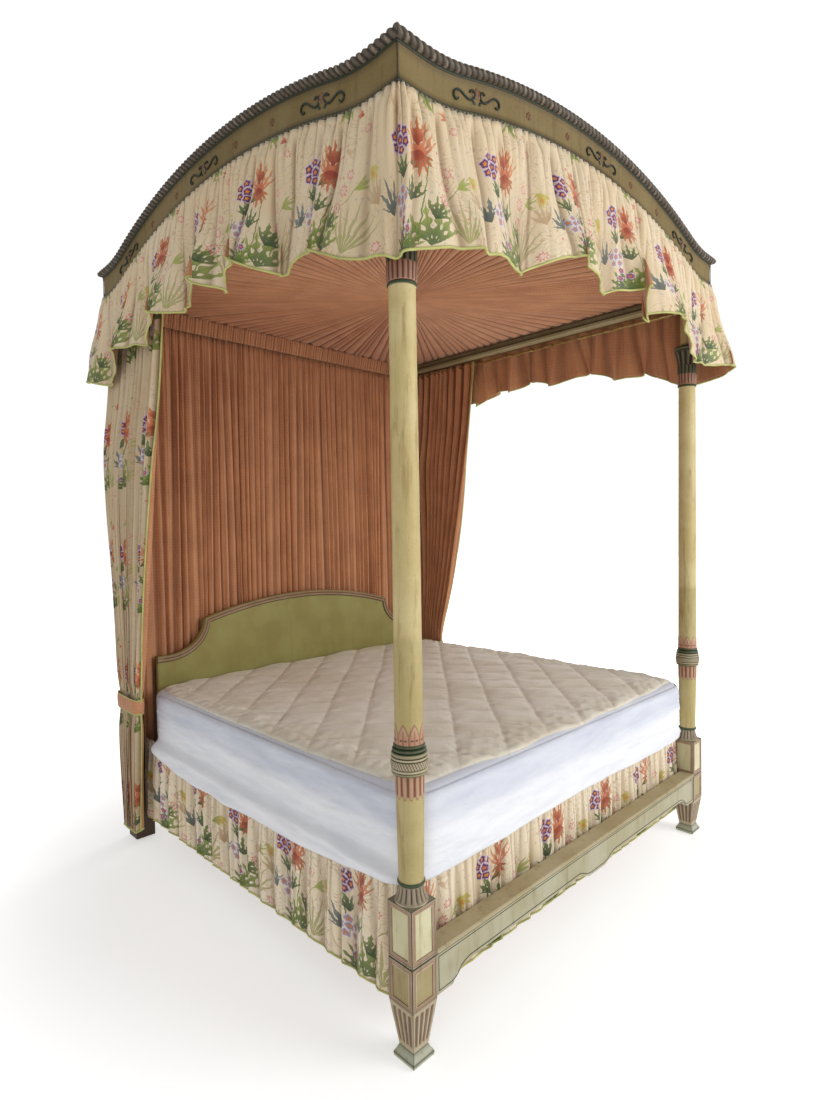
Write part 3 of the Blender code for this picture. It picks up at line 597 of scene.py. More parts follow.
def print_motifs(net, place, colour):
    """Lays the stems, leaves and flowers of the repeat over the ground."""
    for middle, lean, bend, length, ink in STEMS:
        stem = motif(net, "stem", place, middle, Lean=lean, Bend=bend, Length=length)
        colour = net.mix(stem["Mask"], colour, ink)
    for middle, aim, spread, gap, length, width, teeth, root, tip in FANS:
        fan = motif(net, "fan", place, middle, Aim=aim, Spread=spread, Gap=gap, Length=length,
                    Width=width, Teeth=teeth)
        ink = net.mix(net.ramp(fan["Along"], 0.1, 0.9), root, tip)
        ink = net.mix(net.times(net.math("MAXIMUM", fan["Vein"], fan["Edge"]), 0.55), ink, root)
        colour = net.mix(net.times(fan["Mask"], 0.92), colour, ink)
    for middle, count, spread, radius, petals, turn, petal, rim, eye in POSIES:
        posy = motif(net, "posy", place, middle, Count=count, Spread=spread, Radius=radius,
                     Petals=petals, Turn=turn)
        ink = net.mix(posy["Rim"], petal, rim)
        ink = net.mix(net.ramp(posy["Shade"], 1.0, 0.0, 0.0, 0.7), ink, petal)
        ink = net.mix(posy["Eye"], ink, eye)
        colour = net.mix(posy["Mask"], colour, ink)
    for middle, radius in RINGS:
        ring = motif(net, "posy", place, middle, Count=1.0, Spread=0.0, Radius=radius, Petals=9.0)
        hollow = net.times(ring["Mask"], net.minus(1.0, ring["Eye"]))
        ink = net.mix(ring["Rim"], (0.86, 0.60, 0.52), (0.66, 0.10, 0.12))
        colour = net.mix(net.times(hollow, 0.85), colour, ink)
    return colour


def make_chintz(name, cream):
    """Glazed cotton printed with flower sprays, fine scrolls and small grey flecks."""
    material, net, shader = new_material(name, 0.62, Sheen_Weight=0.15, Sheen_Roughness=0.4)
    cloth = net.where("UV")
    wobble = net.put("ShaderNodeTexNoise", {"Vector": cloth, "Scale": 34.0, "Detail": 2.0})
    push = net.vector("SUBTRACT", wobble.outputs["Color"], (0.5, 0.5, 0.5))
    drift = net.vector("MULTIPLY", push, (0.012, 0.012, 0.0))
    place = net.vector("ADD", cloth, drift)
    stain = net.noise(cloth, 3.0, 4.0)
    ground = net.mix(net.ramp(stain, 0.35, 0.7), cream, tinted(cream, (0.95, 0.90, 0.82)))
    dots = net.put("ShaderNodeTexVoronoi", {"Vector": cloth, "Scale": 38.0, "Randomness": 0.35})
    fleck = net.times(net.ramp(dots.outputs["Distance"], 0.10, 0.20, 1.0, 0.0), 0.50)
    ground = net.mix(fleck, ground, (0.42, 0.40, 0.42))
    field = net.noise(place, 9.0, 1.0, 0.4, 2.4)
    level = net.math("FRACT", net.times(field, 7.0))
    line = net.ramp(net.math("ABSOLUTE", net.minus(level, 0.5)), 0.0, 0.130, 1.0, 0.0)
    patch = net.ramp(net.noise(cloth, 4.5, 1.0), 0.42, 0.54)
    scroll = net.times(net.times(line, patch), 0.72)
    tone = net.mix(net.noise(cloth, 7.0, 0.0), (0.62, 0.30, 0.20), (0.52, 0.44, 0.20))
    ground = net.mix(scroll, ground, tone)
    sprig = net.put("ShaderNodeTexVoronoi", {"Vector": place, "Scale": 13.0, "Randomness": 0.9})
    berry = net.ramp(sprig.outputs["Distance"], 0.07, 0.10, 1.0, 0.0)
    berries = net.times(net.times(berry, patch), 0.8)
    ground = net.mix(berries, ground, (0.70, 0.16, 0.12))
    colour = print_motifs(net, place, ground)
    mottle = net.noise(cloth, 190.0, 2.0)
    dull = net.mix(1.0, colour, (0.72, 0.66, 0.58), "MULTIPLY")
    colour = net.mix(net.ramp(mottle, 0.35, 0.75, 0.0, 0.16), colour, dull)
    # Painted shade: the print darkens in the fold valleys and gathers that the cloth stores as crease.
    crease = net.stored("crease")
    shaded = net.mix(1.0, colour, (0.32, 0.23, 0.15), "MULTIPLY")
    colour = net.mix(net.times(crease, 0.95), colour, shaded)
    weave = net.group("weave", {"UV": cloth, "Threads per metre": 1100.0})
    net.feed(shader.inputs["Base Color"], colour)
    net.feed(shader.inputs["Roughness"], net.ramp(weave["Fleck"], 0.3, 0.7, 0.52, 0.70))
    wrinkle = net.noise(net.stretch(cloth, (30.0, 7.0, 1.0)), 1.0, 4.0)
    height = net.plus(wrinkle, net.times(weave["Height"], 0.05))
    bump(net, shader, height, 0.35, 0.006)
    return material


def make_lining(name, colour, pale):
    """Terracotta cotton with a tiny all-over print."""
    material, net, shader = new_material(name, 0.85, Sheen_Weight=0.2)
    cloth = net.where("UV")
    cells = net.put("ShaderNodeTexVoronoi", {"Vector": cloth, "Scale": 62.5, "Randomness": 0.25})
    ring = net.math("ABSOLUTE", net.minus(cells.outputs["Distance"], 0.26))
    print_ring = net.ramp(ring, 0.03, 0.10, 1.0, 0.0)
    dot = net.ramp(cells.outputs["Distance"], 0.06, 0.12, 1.0, 0.0)
    shade = net.noise(cloth, 5.0, 5.0)
    ground = net.mix(net.ramp(shade, 0.3, 0.7), colour, tinted(colour, (0.80, 0.74, 0.70)))
    ground = net.mix(net.times(print_ring, 0.42), ground, pale)
    ground = net.mix(net.times(dot, 0.55), ground, tuple(c * 0.42 for c in colour))
    weave = net.group("weave", {"UV": cloth, "Threads per metre": 900.0})
    wear_and_shade = net.mix(net.ramp(weave["Fleck"], 0.4, 0.7, 0.0, 0.20), ground, pale)
    # Painted shade: the lining darkens towards a deep tone in the hollows of its folds and pleats, stored as
    # hollow.
    hollow = net.stored("hollow")
    deep = tinted(colour, (0.22, 0.17, 0.13))
    wear_and_shade = net.mix(net.times(hollow, 0.85), wear_and_shade, deep)
    net.feed(shader.inputs["Base Color"], wear_and_shade)
    height = net.plus(net.noise(net.stretch(cloth, (40.0, 5.0, 1.0)), 1.0, 4.0),
                      net.times(weave["Height"], 0.10))
    bump(net, shader, height, 0.4, 0.004)
    return material


def make_piping_cloth(name, colour):
    """Bias cut cotton over a cord."""
    material, net, shader = new_material(name, 0.6)
    place = net.where("Object")
    thread = net.noise(place, 900.0, 2.0)
    fade = net.noise(place, 12.0, 3.0)
    tone = net.mix(net.ramp(fade, 0.3, 0.7), colour, tuple(c * 0.72 for c in colour))
    tone = net.mix(net.ramp(thread, 0.4, 0.7, 0.0, 0.3), tone, (0.30, 0.33, 0.12))
    net.feed(shader.inputs["Base Color"], tone)
    bump(net, shader, thread, 0.3, 0.001)
    return material


# ---- Bedding cloths -----------------------------------------------------------------------------
def make_quilt_cloth(name, colour):
    """Washed cotton of the quilted pad, with stitch holes drawn along the diamonds."""
    material, net, shader = new_material(name, 0.82, Sheen_Weight=0.25)
    cloth = net.where("UV")
    cloud = net.noise(cloth, 2.2, 4.0)
    tone = net.mix(net.ramp(cloud, 0.35, 0.7), colour, tinted(colour, (0.90, 0.86, 0.78)))
    stitch = net.stored("stitch")
    tone = net.mix(net.times(stitch, 0.30), tone, tinted(colour, (0.62, 0.56, 0.48)))
    weave = net.group("weave", {"UV": cloth, "Threads per metre": 1000.0})
    crinkle = net.noise(cloth, 34.0, 6.0, 0.6, 0.9)
    net.feed(shader.inputs["Base Color"], tone)
    net.feed(shader.inputs["Roughness"], net.ramp(weave["Fleck"], 0.3, 0.7, 0.75, 0.9))
    height = net.plus(crinkle, net.times(weave["Height"], 0.06))
    bump(net, shader, height, 0.55, 0.006)
    return material


def make_knit(name, colour, tint_and_shade):
    """Stretch knit of the mattress side: fine vertical ribs, a bluer tint in drifts and painted shade on its
    upper band.
    """
    material, net, shader = new_material(name, 0.72, Sheen_Weight=0.3)
    place = net.where("Object")
    cloth = net.where("UV")
    rib = net.math("SINE", net.times(net.axes(cloth)[0], 1800.0))
    drift = net.noise(net.stretch(place, (1.0, 1.0, 6.0)), 3.0, 5.0)
    # Painted shade: from about 0.64 m up, the side takes the darker, bluer tint.
    high = net.ramp(net.axes(place)[2], 0.64, 0.72)
    share = net.plus(net.ramp(drift, 0.3, 0.7, 0.0, 0.35), net.times(high, 0.65))
    net.feed(shader.inputs["Base Color"], net.mix(share, colour, tint_and_shade))
    net.feed(shader.inputs["Roughness"], net.ramp(drift, 0.2, 0.8, 0.62, 0.80))
    slack = net.noise(net.stretch(place, (3.0, 3.0, 9.0)), 3.2, 5.0, 0.55, 1.2)
    height = net.plus(slack, net.times(rib, 0.02))
    bump(net, shader, height, 0.45, 0.012)
    return material


# ---- Paint, timber and metal ---------------------------------------------------------------------
def make_aged_paint(name, glaze, chips, streak, colour=None):
    """Old brushed paint; without a colour it takes the one stored on the piece."""
    material, net, shader = new_material(name, 0.5, Specular_IOR_Level=0.35)
    place = net.where("Object")
    if colour is None:
        colour = net.put("ShaderNodeVertexColor", layer_name="paint").outputs["Color"]
    aged = net.group("aged_paint", {"Place": place, "Colour": colour, "Glaze": glaze, "Chips": chips,
                                    "Streak scale": streak})
    net.feed(shader.inputs["Base Color"], aged["Colour"])
    net.feed(shader.inputs["Roughness"], aged["Roughness"])
    bump(net, shader, aged["Height"], 0.5, 0.0015)
    return material


def make_timber(name, light, dark):
    """Sawn softwood with long grain."""
    grain = (3.0, 0.35, 3.0)
    material, net, shader = new_material(name, 0.65)
    place = net.where("Object")
    rings = net.noise(net.stretch(place, grain), 14.0, 6.0, 0.6, 1.6)
    pores = net.noise(net.stretch(place, tuple(g * 12 for g in grain)), 8.0, 3.0)
    tone = net.mix(net.ramp(rings, 0.35, 0.65), light, dark)
    net.feed(shader.inputs["Base Color"], net.mix(net.ramp(pores, 0.5, 0.8, 0.0, 0.45), tone, dark))
    net.feed(shader.inputs["Roughness"], net.ramp(pores, 0.3, 0.7, 0.55, 0.75))
    bump(net, shader, pores, 0.3, 0.001)
    return material


def make_metal(name, colour, roughness):
    """Worn metal: a smeared polish with darker tarnish."""
    material, net, shader = new_material(name, roughness, Metallic=1.0)
    place = net.where("Object")
    tarnish = net.noise(place, 40.0, 5.0)
    tone = net.mix(net.ramp(tarnish, 0.45, 0.7), colour, tuple(c * 0.4 for c in colour))
    net.feed(shader.inputs["Base Color"], tone)
    net.feed(shader.inputs["Roughness"], net.ramp(tarnish, 0.3, 0.7, roughness, roughness + 0.25))
    bump(net, shader, tarnish, 0.1, 0.0005)
    return material


def make_ticking(name):
    """Cotton ticking with fine grey stripes."""
    material, net, shader = new_material(name, 0.85)
    place = net.where("Object")
    split = net.axes(place)
    both = net.plus(split[0], split[1])
    stripe = net.ramp(net.math("SINE", net.times(both, 260.0)), 0.82, 0.95)
    thread = net.noise(place, 500.0, 2.0)
    tone = net.mix(net.times(stripe, 0.6), (0.70, 0.68, 0.62), (0.28, 0.31, 0.36))
    tone = net.mix(net.ramp(thread, 0.4, 0.7, 0.0, 0.25), tone, (0.45, 0.43, 0.38))
    net.feed(shader.inputs["Base Color"], tone)
    bump(net, shader, thread, 0.3, 0.001)
    return material


MATERIALS = {}


def make_materials(look):
    for build in (make_weave_group, make_age_group, make_posy_group, make_fan_group, make_stem_group):
        build()
    cream = tuple(look.chintz_ground)
    terracotta = tuple(look.lining)
    MATERIALS.update(
        post=make_aged_paint("celery_paint", 0.55, 0.55, 9.0),
        rail_face=make_aged_paint("rail_paint", 0.50, 0.50, 6.0, colour=(0.44, 0.41, 0.28)),
        ledge=make_aged_paint("ledge_paint", 0.40, 0.25, 7.0, colour=(0.45, 0.38, 0.23)),
        line=make_aged_paint("green_line", 0.20, 0.50, 9.0, colour=(0.045, 0.065, 0.035)),
        trim=make_aged_paint("tan_moulding", 0.25, 0.20, 8.0),
        cornice=make_aged_paint("cornice_paint", 0.45, 0.20, 7.0),
        carving=make_aged_paint("carved_relief", 0.55, 0.30, 12.0),
        headboard=make_aged_paint("olive_paint", 0.16, 0.05, 4.0, colour=(0.30, 0.27, 0.085)),
        ticking=make_ticking("woven_ticking"),
        brown=make_aged_paint("brown_stain", 0.4, 0.3, 8.0, colour=(0.075, 0.045, 0.026)),
        chintz=make_chintz("floral_chintz", cream),
        # Lit and shaded copies of the chintz: painted light makes the skirts' copy lighter and less warm,
        # painted shade makes the side curtains' copy darker.
        skirt_chintz=make_chintz("lit_skirt_chintz", tinted(cream, (1.14, 1.22, 1.36))),
        curtain_chintz=make_chintz("shaded_chintz", tinted(cream, (0.84, 0.82, 0.80))),
        lining=make_lining("terracotta_lining", terracotta, (0.62, 0.40, 0.28)),
        piping=make_piping_cloth("lime_piping", tuple(look.piping)),
        quilt=make_quilt_cloth("cream_quilting", tuple(look.quilt)),
        knit=make_knit("pale_blue_knit", (0.76, 0.78, 0.84), (0.66, 0.69, 0.78)),
        sheet=make_knit("white_cover", (0.94, 0.95, 0.98), (0.62, 0.65, 0.75)),
        timber=make_timber("plain_timber", (0.42, 0.27, 0.15), (0.24, 0.14, 0.07)),
        steel=make_metal("pin_steel", (0.46, 0.46, 0.47), 0.35),
        brass=make_metal("aged_brass", (0.50, 0.35, 0.14), 0.30),
        floor=make_floor("studio_floor"),
    )


def make_floor(name):
    """A plain white floor that glows, as painted light, more and more away from the bed for the camera, so it
    keeps a soft shadow near the bed and fades to white far from it.
    """
    material, net, shader = new_material(name, 0.9)
    shader.inputs["Emission Color"].default_value = (1.0, 1.0, 1.0, 1.0)
    ray = net.put("ShaderNodeLightPath").outputs["Is Camera Ray"]
    place = net.where("Object")
    # Painted light: camera rays see a glow that grows from 1.4 m to 3.2 m from the middle of the bed.
    far = net.ramp(net.vector("LENGTH", place), 1.4, 3.2, 0.12, 0.75)
    net.feed(shader.inputs["Emission Strength"], net.math("MULTIPLY_ADD", ray, far, 0.34))
    drift = net.noise(place, 0.6, 2.0)
    tone = net.mix(net.ramp(drift, 0.3, 0.7), (0.90, 0.90, 0.90), (0.88, 0.88, 0.88))
    net.feed(shader.inputs["Base Color"], tone)
    return material


# ---- Shapes that several pieces share ------------------------------------------------------------
ARCH_RISE = 0.158
CORNICE_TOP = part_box("cornice_foot")[1].z - ARCH_RISE      # top line of the cornice at its shoulders
ARCH_INSET = 0.100            # where the arch springs from, inside the post centres
ARCH_EASE = 0.09              # how far the corner there is rounded off
CORNICE_FACE = 0.086          # face of the frieze, outward of the post centres
CORNICE_BACK = 0.061
CORNICE_DROP = 0.155          # mouldings and frieze together
FRIEZE_MIDDLE = 0.0865        # below the top line
VALANCE_DROP = 0.450
HALF = {"foot": POST_X, "head": POST_X, "left": POST_Y, "right": POST_Y}


def arch(along, half_run):
    """Rise of the cornice above its shoulders, eased where the arch springs from them."""
    chord = half_run - ARCH_INSET
    radius = (chord ** 2 + ARCH_RISE ** 2) / (2 * ARCH_RISE)
    total = 0.0
    steps = np.linspace(-ARCH_EASE, ARCH_EASE, 9)
    for step in steps:
        place = np.minimum(np.abs(along + step), chord)
        total = total + np.sqrt(radius ** 2 - place ** 2) - radius + ARCH_RISE
    return total / len(steps)


def on_side(side, along, out, height):
    """Turns a place along one side, outward of the post centres, into x, y and z."""
    if side == "foot":
        return along, -POST_Y - out, height
    if side == "right":
        return POST_X + out, along, height
    if side == "head":
        return -along, POST_Y + out, height
    return -POST_X - out, -along, height


class Outline:
    """A rounded oblong seen from above, from the middle of its head side round by the left and foot."""

    def __init__(self, half_x, low_y, high_y, radius):
        corners = [(-1, high_y, 90), (-1, low_y, 180), (1, low_y, 270), (1, high_y, 0)]
        points = [(0.0, high_y, 0.0, 1.0)]
        for sign, y, start in corners:
            centre = (sign * (half_x - radius), y + (radius if y == low_y else -radius))
            for i in range(13):
                angle = math.radians(start + 90 * i / 12)
                nx, ny = math.cos(angle), math.sin(angle)
                points.append((centre[0] + radius * nx, centre[1] + radius * ny, nx, ny))
        points.append((0.0, high_y, 0.0, 1.0))
        self.table = np.array(points)
        runs = np.linalg.norm(np.diff(self.table[:, :2], axis=0), axis=1)
        self.places = np.concatenate([[0.0], np.cumsum(runs)])
        self.length = self.places[-1]
        self.head_half = half_x - radius + math.pi * radius / 2

    def at(self, distance):
        x, y, nx, ny = (np.interp(distance, self.places, self.table[:, i]) for i in range(4))
        size = np.hypot(nx, ny)
        return x, y, nx / size, ny / size


def crumple(x, y, scale, seed, count=10):
    """A smooth random height over a surface, about -1 to 1, from waves in all directions."""
    random = np.random.RandomState(seed)
    total = np.zeros_like(x)
    for _ in range(count):
        angle, pace, phase = random.uniform(0, math.pi), random.uniform(0.6, 1.7), random.uniform(0, TAU)
        line = (x * math.cos(angle) + y * math.sin(angle)) * TAU / scale * pace
        total = total + np.sin(line + phase + 0.8 * np.sin(line * 0.37 + phase * 3))
    return total / math.sqrt(count) / 1.4


def turned(name, profile, centre=(0.0, 0.0), steps=96, reshape=None):
    """A solid turned about an upright line. profile is a list of (height, radius) from the bottom up.

    reshape(angle, height, radius) may give each point a new radius.
    """
    obj = added(name, bpy.ops.mesh.primitive_plane_add, size=0.01)
    bpy.ops.object.mode_set(mode="EDIT")
    bpy.ops.mesh.select_all(action="SELECT")
    bpy.ops.mesh.merge(type="CENTER")
    bpy.ops.transform.translate(value=(0.0, 0.0, profile[0][0]))
    here = (profile[0][0], 0.0)
    for height, radius in list(profile) + [(profile[-1][0], 0.0)]:
        move = (radius - here[1], 0.0, height - here[0])
        bpy.ops.mesh.extrude_vertices_move(TRANSFORM_OT_translate={"value": move})
        here = (height, radius)
    bpy.ops.mesh.select_all(action="SELECT")
    bpy.ops.mesh.spin(steps=steps, angle=TAU, center=(0.0, 0.0, 0.0), axis=(0.0, 0.0, 1.0))
    bpy.ops.mesh.select_all(action="SELECT")
    bpy.ops.mesh.remove_doubles(threshold=0.00002)
    bpy.ops.mesh.normals_make_consistent(inside=False)
    bpy.ops.object.mode_set(mode="OBJECT")
    points = points_of(obj)
    radius = np.hypot(points[:, 0], points[:, 1])
    angle = np.arctan2(points[:, 1], points[:, 0])
    if reshape is not None:
        grown = reshape(angle, points[:, 2], radius)
        scale = np.where(radius > 1e-4, grown / np.maximum(radius, 1e-4), 1.0)
        points[:, 0] *= scale
        points[:, 1] *= scale
    points[:, 0] += centre[0]
    points[:, 1] += centre[1]
    set_points(obj, points)
    bpy.ops.object.shade_smooth_by_angle(angle=math.radians(50))
    return obj


def paint_turning(obj, centre, colour_at):
    """Paints a turned piece with the colours of colour_at(angle, height)."""
    points = points_of(obj)
    angle = np.arctan2(points[:, 1] - centre[1], points[:, 0] - centre[0])
    paint(obj, colour_at(angle, points[:, 2]))


def banded(height, bands, first):
    """Colour by height: bands is a list of (lower edge, colour), and first is the colour below."""
    soft = 0.0008
    colours = np.tile(np.array(first, float), (len(height), 1))
    for edge, colour in bands:
        colours = mixed(colours, colour, smoothstep(edge - soft, edge + soft, height))
    return colours


# ---- Posts ---------------------------------------------------------------------------------------
OLIVE = (0.50, 0.41, 0.19)
OLIVE_PALE = (0.60, 0.49, 0.24)
DARK_GREEN = (0.035, 0.060, 0.025)
LEAF_GREEN = (0.052, 0.075, 0.035)
CREAM = (0.56, 0.48, 0.33)
PINK = (0.50, 0.27, 0.18)
PINK_DARK = (0.22, 0.075, 0.04)
GREY_REED = (0.30, 0.25, 0.18)
GREY_DARK = (0.055, 0.046, 0.030)
BLOCK_SIDE = 0.107
BLOCK_LOW, BLOCK_SPLIT, BLOCK_TOP = 0.181, 0.318, 0.496
FLUTE_Z, JOINT_Z, LOTUS_Z, LOTUS_TOP = 0.816, 0.972, 0.984, 1.045
RING_Z = TESTER_Z - 0.448
BAND_Z, LEAF_Z = TESTER_Z - 0.382, TESTER_Z - 0.338
ABACUS_Z = TESTER_Z - 0.262
REEDS = 14
PETALS = 8


def rounded(low, high, inner, outer, steps=5):
    """A torus bead in a turned profile, from low to high."""
    line = []
    for i in range(steps + 1):
        t = i / steps
        line.append((low + (high - low) * t, inner + (outer - inner) * math.sin(math.pi * t) ** 0.6))
    return line


def lower_profile():
    z = BLOCK_TOP + 0.0004
    line = [(z, 0.0530), (z + 0.004, 0.0530), (z + 0.0045, 0.0515)]
    line += [(z + 0.0045 + 0.046 * t, 0.0515 - 0.0125 * math.sin(t * math.pi / 2) ** 0.9)
             for t in np.linspace(0.1, 1, 12)]
    line += rounded(0.5475, 0.5615, 0.0392, 0.0436, 7)
    line += [(h, 0.0388 + 0.0052 * ((h - 0.562) / 0.254) ** 0.85) for h in np.linspace(0.563, 0.812, 24)]
    line += [(h, 0.0442 + 0.0012 * (h - 0.812) / 0.076) for h in np.linspace(0.813, 0.888, 34)]
    line += rounded(0.8895, 0.9000, 0.0480, 0.0560, 6)
    line += rounded(0.9005, 0.9095, 0.0535, 0.0572, 5)
    line += [(h, 0.0555 + 0.0028 * math.sin(math.pi * (h - 0.910) / 0.0255) ** 0.7)
             for h in np.linspace(0.9105, 0.9350, 12)]
    line += rounded(0.9360, 0.9440, 0.0540, 0.0572, 5)
    line += rounded(0.9450, 0.9580, 0.0525, 0.0560, 6)
    line += rounded(0.9590, JOINT_Z - 0.0002, 0.0460, 0.0530, 6)
    return line


def lower_shape(angle, height, radius):
    """Gadroons on the bell, reeds under the collar and a twisted cord round it."""
    bell = between(height, (0.500, 0.506), (0.540, 0.547))
    valley = np.abs(np.sin(angle * 8)) ** 0.7
    radius = radius - bell * (0.0045 * (1 - valley))
    reeds = smoothstep(FLUTE_Z + 0.006, FLUTE_Z + 0.012, height + 0.004 * np.cos(angle * REEDS)) \
        * (1 - smoothstep(0.886, 0.8885, height))
    radius = radius + reeds * (0.0022 * np.abs(np.cos(angle * REEDS / 2)) ** 0.8 - 0.0012)
    cord = (height > 0.9110) & (height < 0.9345)
    twist = np.abs(np.sin(angle * 20 + (height - 0.91) * 160))
    return radius + cord * (0.0016 * twist - 0.0010)


def lower_colour(angle, height):
    colours = banded(height, [
        (0.5005, GREY_REED), (0.5475, DARK_GREEN), (0.5545, (0.09, 0.12, 0.06)), (0.5562, DARK_GREEN),
        (0.5612, OLIVE), (0.8885, DARK_GREEN), (0.8945, (0.40, 0.35, 0.22)), (0.9000, DARK_GREEN),
        (0.9025, CREAM), (0.9085, DARK_GREEN), (0.9115, (0.26, 0.23, 0.15)), (0.9340, DARK_GREEN),
        (0.9375, CREAM), (0.9430, GREY_DARK), (0.9470, (0.36, 0.32, 0.20)), (0.9560, DARK_GREEN),
        (0.9620, (0.11, 0.12, 0.07)), (0.9680, DARK_GREEN)], CREAM)
    bell = between(height, (0.501, 0.504), (0.544, 0.547))
    crest = np.abs(np.sin(angle * 8)) ** 0.7
    reed = mixed(GREY_DARK, (0.37, 0.30, 0.22), smoothstep(0.25, 0.75, crest))
    colours = mixed(colours, reed, bell)
    edge = FLUTE_Z + 0.009 - 0.006 * np.cos(angle * REEDS)
    band = smoothstep(edge - 0.003, edge - 0.001, height) * (1 - smoothstep(0.8875, 0.889, height))
    outline = smoothstep(edge - 0.002, edge + 0.003, height)
    ridge_share = smoothstep(0.35, 0.80, np.abs(np.cos(angle * REEDS / 2))) * outline
    colours = mixed(colours, mixed(PINK_DARK, (0.52, 0.33, 0.22), ridge_share), band)
    cord = ((height > 0.9112) & (height < 0.9342)) * 1.0
    strand = smoothstep(0.30, 0.75, np.abs(np.sin(angle * 20 + (height - 0.91) * 160)))
    return mixed(colours, mixed(GREY_DARK, (0.50, 0.42, 0.29), strand), cord)


def upper_profile():
    line = rounded(JOINT_Z + 0.0002, 0.9835, 0.0450, 0.0492, 5)
    petals = np.linspace(LOTUS_Z, LOTUS_TOP + 0.014, 44)
    line += [(h, 0.0448 - 0.0008 * (h - LOTUS_Z) / 0.066) for h in petals]
    line += [(h, 0.0440 - 0.0030 * (h - 1.06) / 1.29) for h in np.linspace(1.062, RING_Z - 0.002, 46)]
    line += rounded(RING_Z - 0.001, RING_Z + 0.010, 0.0415, 0.0462, 6)
    line += [(h, 0.0450 + 0.0022 * (h - RING_Z) / 0.07) for h in np.linspace(RING_Z + 0.011, BAND_Z, 22)]
    line += [(h, 0.0462) for h in np.linspace(BAND_Z + 0.001, LEAF_Z, 12)]
    line += [(h, 0.0440 + 0.0150 * ((h - LEAF_Z) / 0.072) ** 1.6)
             for h in np.linspace(LEAF_Z + 0.001, ABACUS_Z - 0.004, 18)]
    line += rounded(ABACUS_Z - 0.003, ABACUS_Z + 0.006, 0.0585, 0.0610, 4)
    line += rounded(ABACUS_Z + 0.007, ABACUS_Z + 0.021, 0.0590, 0.0618, 5)
    line += [(ABACUS_Z + 0.0225, 0.034), (ABACUS_Z + 0.040, 0.032), (TESTER_Z - 0.0003, 0.032)]
    return line


def petal(angle, height):
    """Above zero inside a lotus petal, with how far it is from the petal's middle and the share up."""
    t = (height - LOTUS_Z) / (LOTUS_TOP - LOTUS_Z)
    turn = np.abs(((angle * PETALS / TAU) % 1.0) - 0.5) * 2
    width = np.clip(1.02 - np.clip(t, 0, 1.2) ** 2.6, -0.3, 1.0)
    return width - turn * 0.97, turn, t


def upper_shape(angle, height, radius):
    inside = petal(angle, height)[0]
    zone = (height > LOTUS_Z - 0.0002) & (height < LOTUS_TOP + 0.010)
    edge = ridge(inside - 0.03, 0.07)
    radius = radius + zone * (0.0012 * smoothstep(0.0, 0.05, inside) - 0.0011 * edge)
    reeds = between(height, (RING_Z + 0.012, RING_Z + 0.016), (BAND_Z - 0.006, BAND_Z))
    radius = radius + reeds * (0.0022 * np.abs(np.cos(angle * 9)) ** 0.7 - 0.0012)
    green = between(height, (BAND_Z, BAND_Z + 0.003), (LEAF_Z - 0.003, LEAF_Z))
    radius = radius + green * (0.0024 * np.abs(np.cos(angle * 8)) ** 0.6 - 0.0015)
    leaf = between(height, (LEAF_Z, LEAF_Z + 0.006), (ABACUS_Z - 0.010, ABACUS_Z - 0.004))
    return radius + leaf * (0.0036 * np.abs(np.cos(angle * 6)) - 0.0018 + 0.0010 * np.cos(angle * 24))


def upper_colour(angle, height):
    colours = banded(height, [
        (0.9765, (0.15, 0.14, 0.08)), (0.9790, DARK_GREEN), (0.9836, OLIVE), (1.30, OLIVE_PALE),
        (RING_Z - 0.0012, DARK_GREEN), (RING_Z + 0.0100, PINK), (BAND_Z, LEAF_GREEN),
        (LEAF_Z, (0.10, 0.09, 0.055)), (ABACUS_Z - 0.004, DARK_GREEN), (ABACUS_Z + 0.004, (0.20, 0.17, 0.10)),
        (ABACUS_Z + 0.010, DARK_GREEN), (ABACUS_Z + 0.0235, OLIVE)], DARK_GREEN)
    inside, turn, t = petal(angle, height)
    zone = ((height > LOTUS_Z - 0.0002) & (height < LOTUS_TOP + 0.010)) * 1.0
    fill = mixed(PINK, (0.56, 0.36, 0.25), smoothstep(0.2, 0.9, t))
    fill = mixed(fill, PINK_DARK, 0.75 * ridge(turn, 0.10) * (1 - smoothstep(0.55, 0.8, t)))
    colours = mixed(colours, fill, zone * smoothstep(0.0, 0.04, inside))
    colours = mixed(colours, PINK_DARK, zone * ridge(inside, 0.075))
    dot = np.hypot((turn - 0.42) * 0.0085, height - 0.9985)
    colours = mixed(colours, (0.07, 0.035, 0.02), zone * (1 - smoothstep(0.0018, 0.0030, dot)))
    reed = between(height, (RING_Z + 0.011, RING_Z + 0.013), (BAND_Z - 0.002, BAND_Z))
    crest = smoothstep(0.30, 0.80, np.abs(np.cos(angle * 9)))
    colours = mixed(colours, mixed((0.10, 0.035, 0.02), (0.40, 0.23, 0.16), crest), reed)
    green = between(height, (BAND_Z, BAND_Z + 0.001), (LEAF_Z - 0.001, LEAF_Z))
    crest = smoothstep(0.35, 0.9, np.abs(np.cos(angle * 8)))
    colours = mixed(colours, mixed((0.012, 0.016, 0.008), (0.13, 0.14, 0.09), crest), green)
    leaf = between(height, (LEAF_Z, LEAF_Z + 0.001), (ABACUS_Z - 0.006, ABACUS_Z - 0.004))
    crest = smoothstep(0.5, 0.95, np.abs(np.cos(angle * 6)))
    return mixed(colours, mixed((0.015, 0.014, 0.010), (0.16, 0.14, 0.09), crest), leaf)


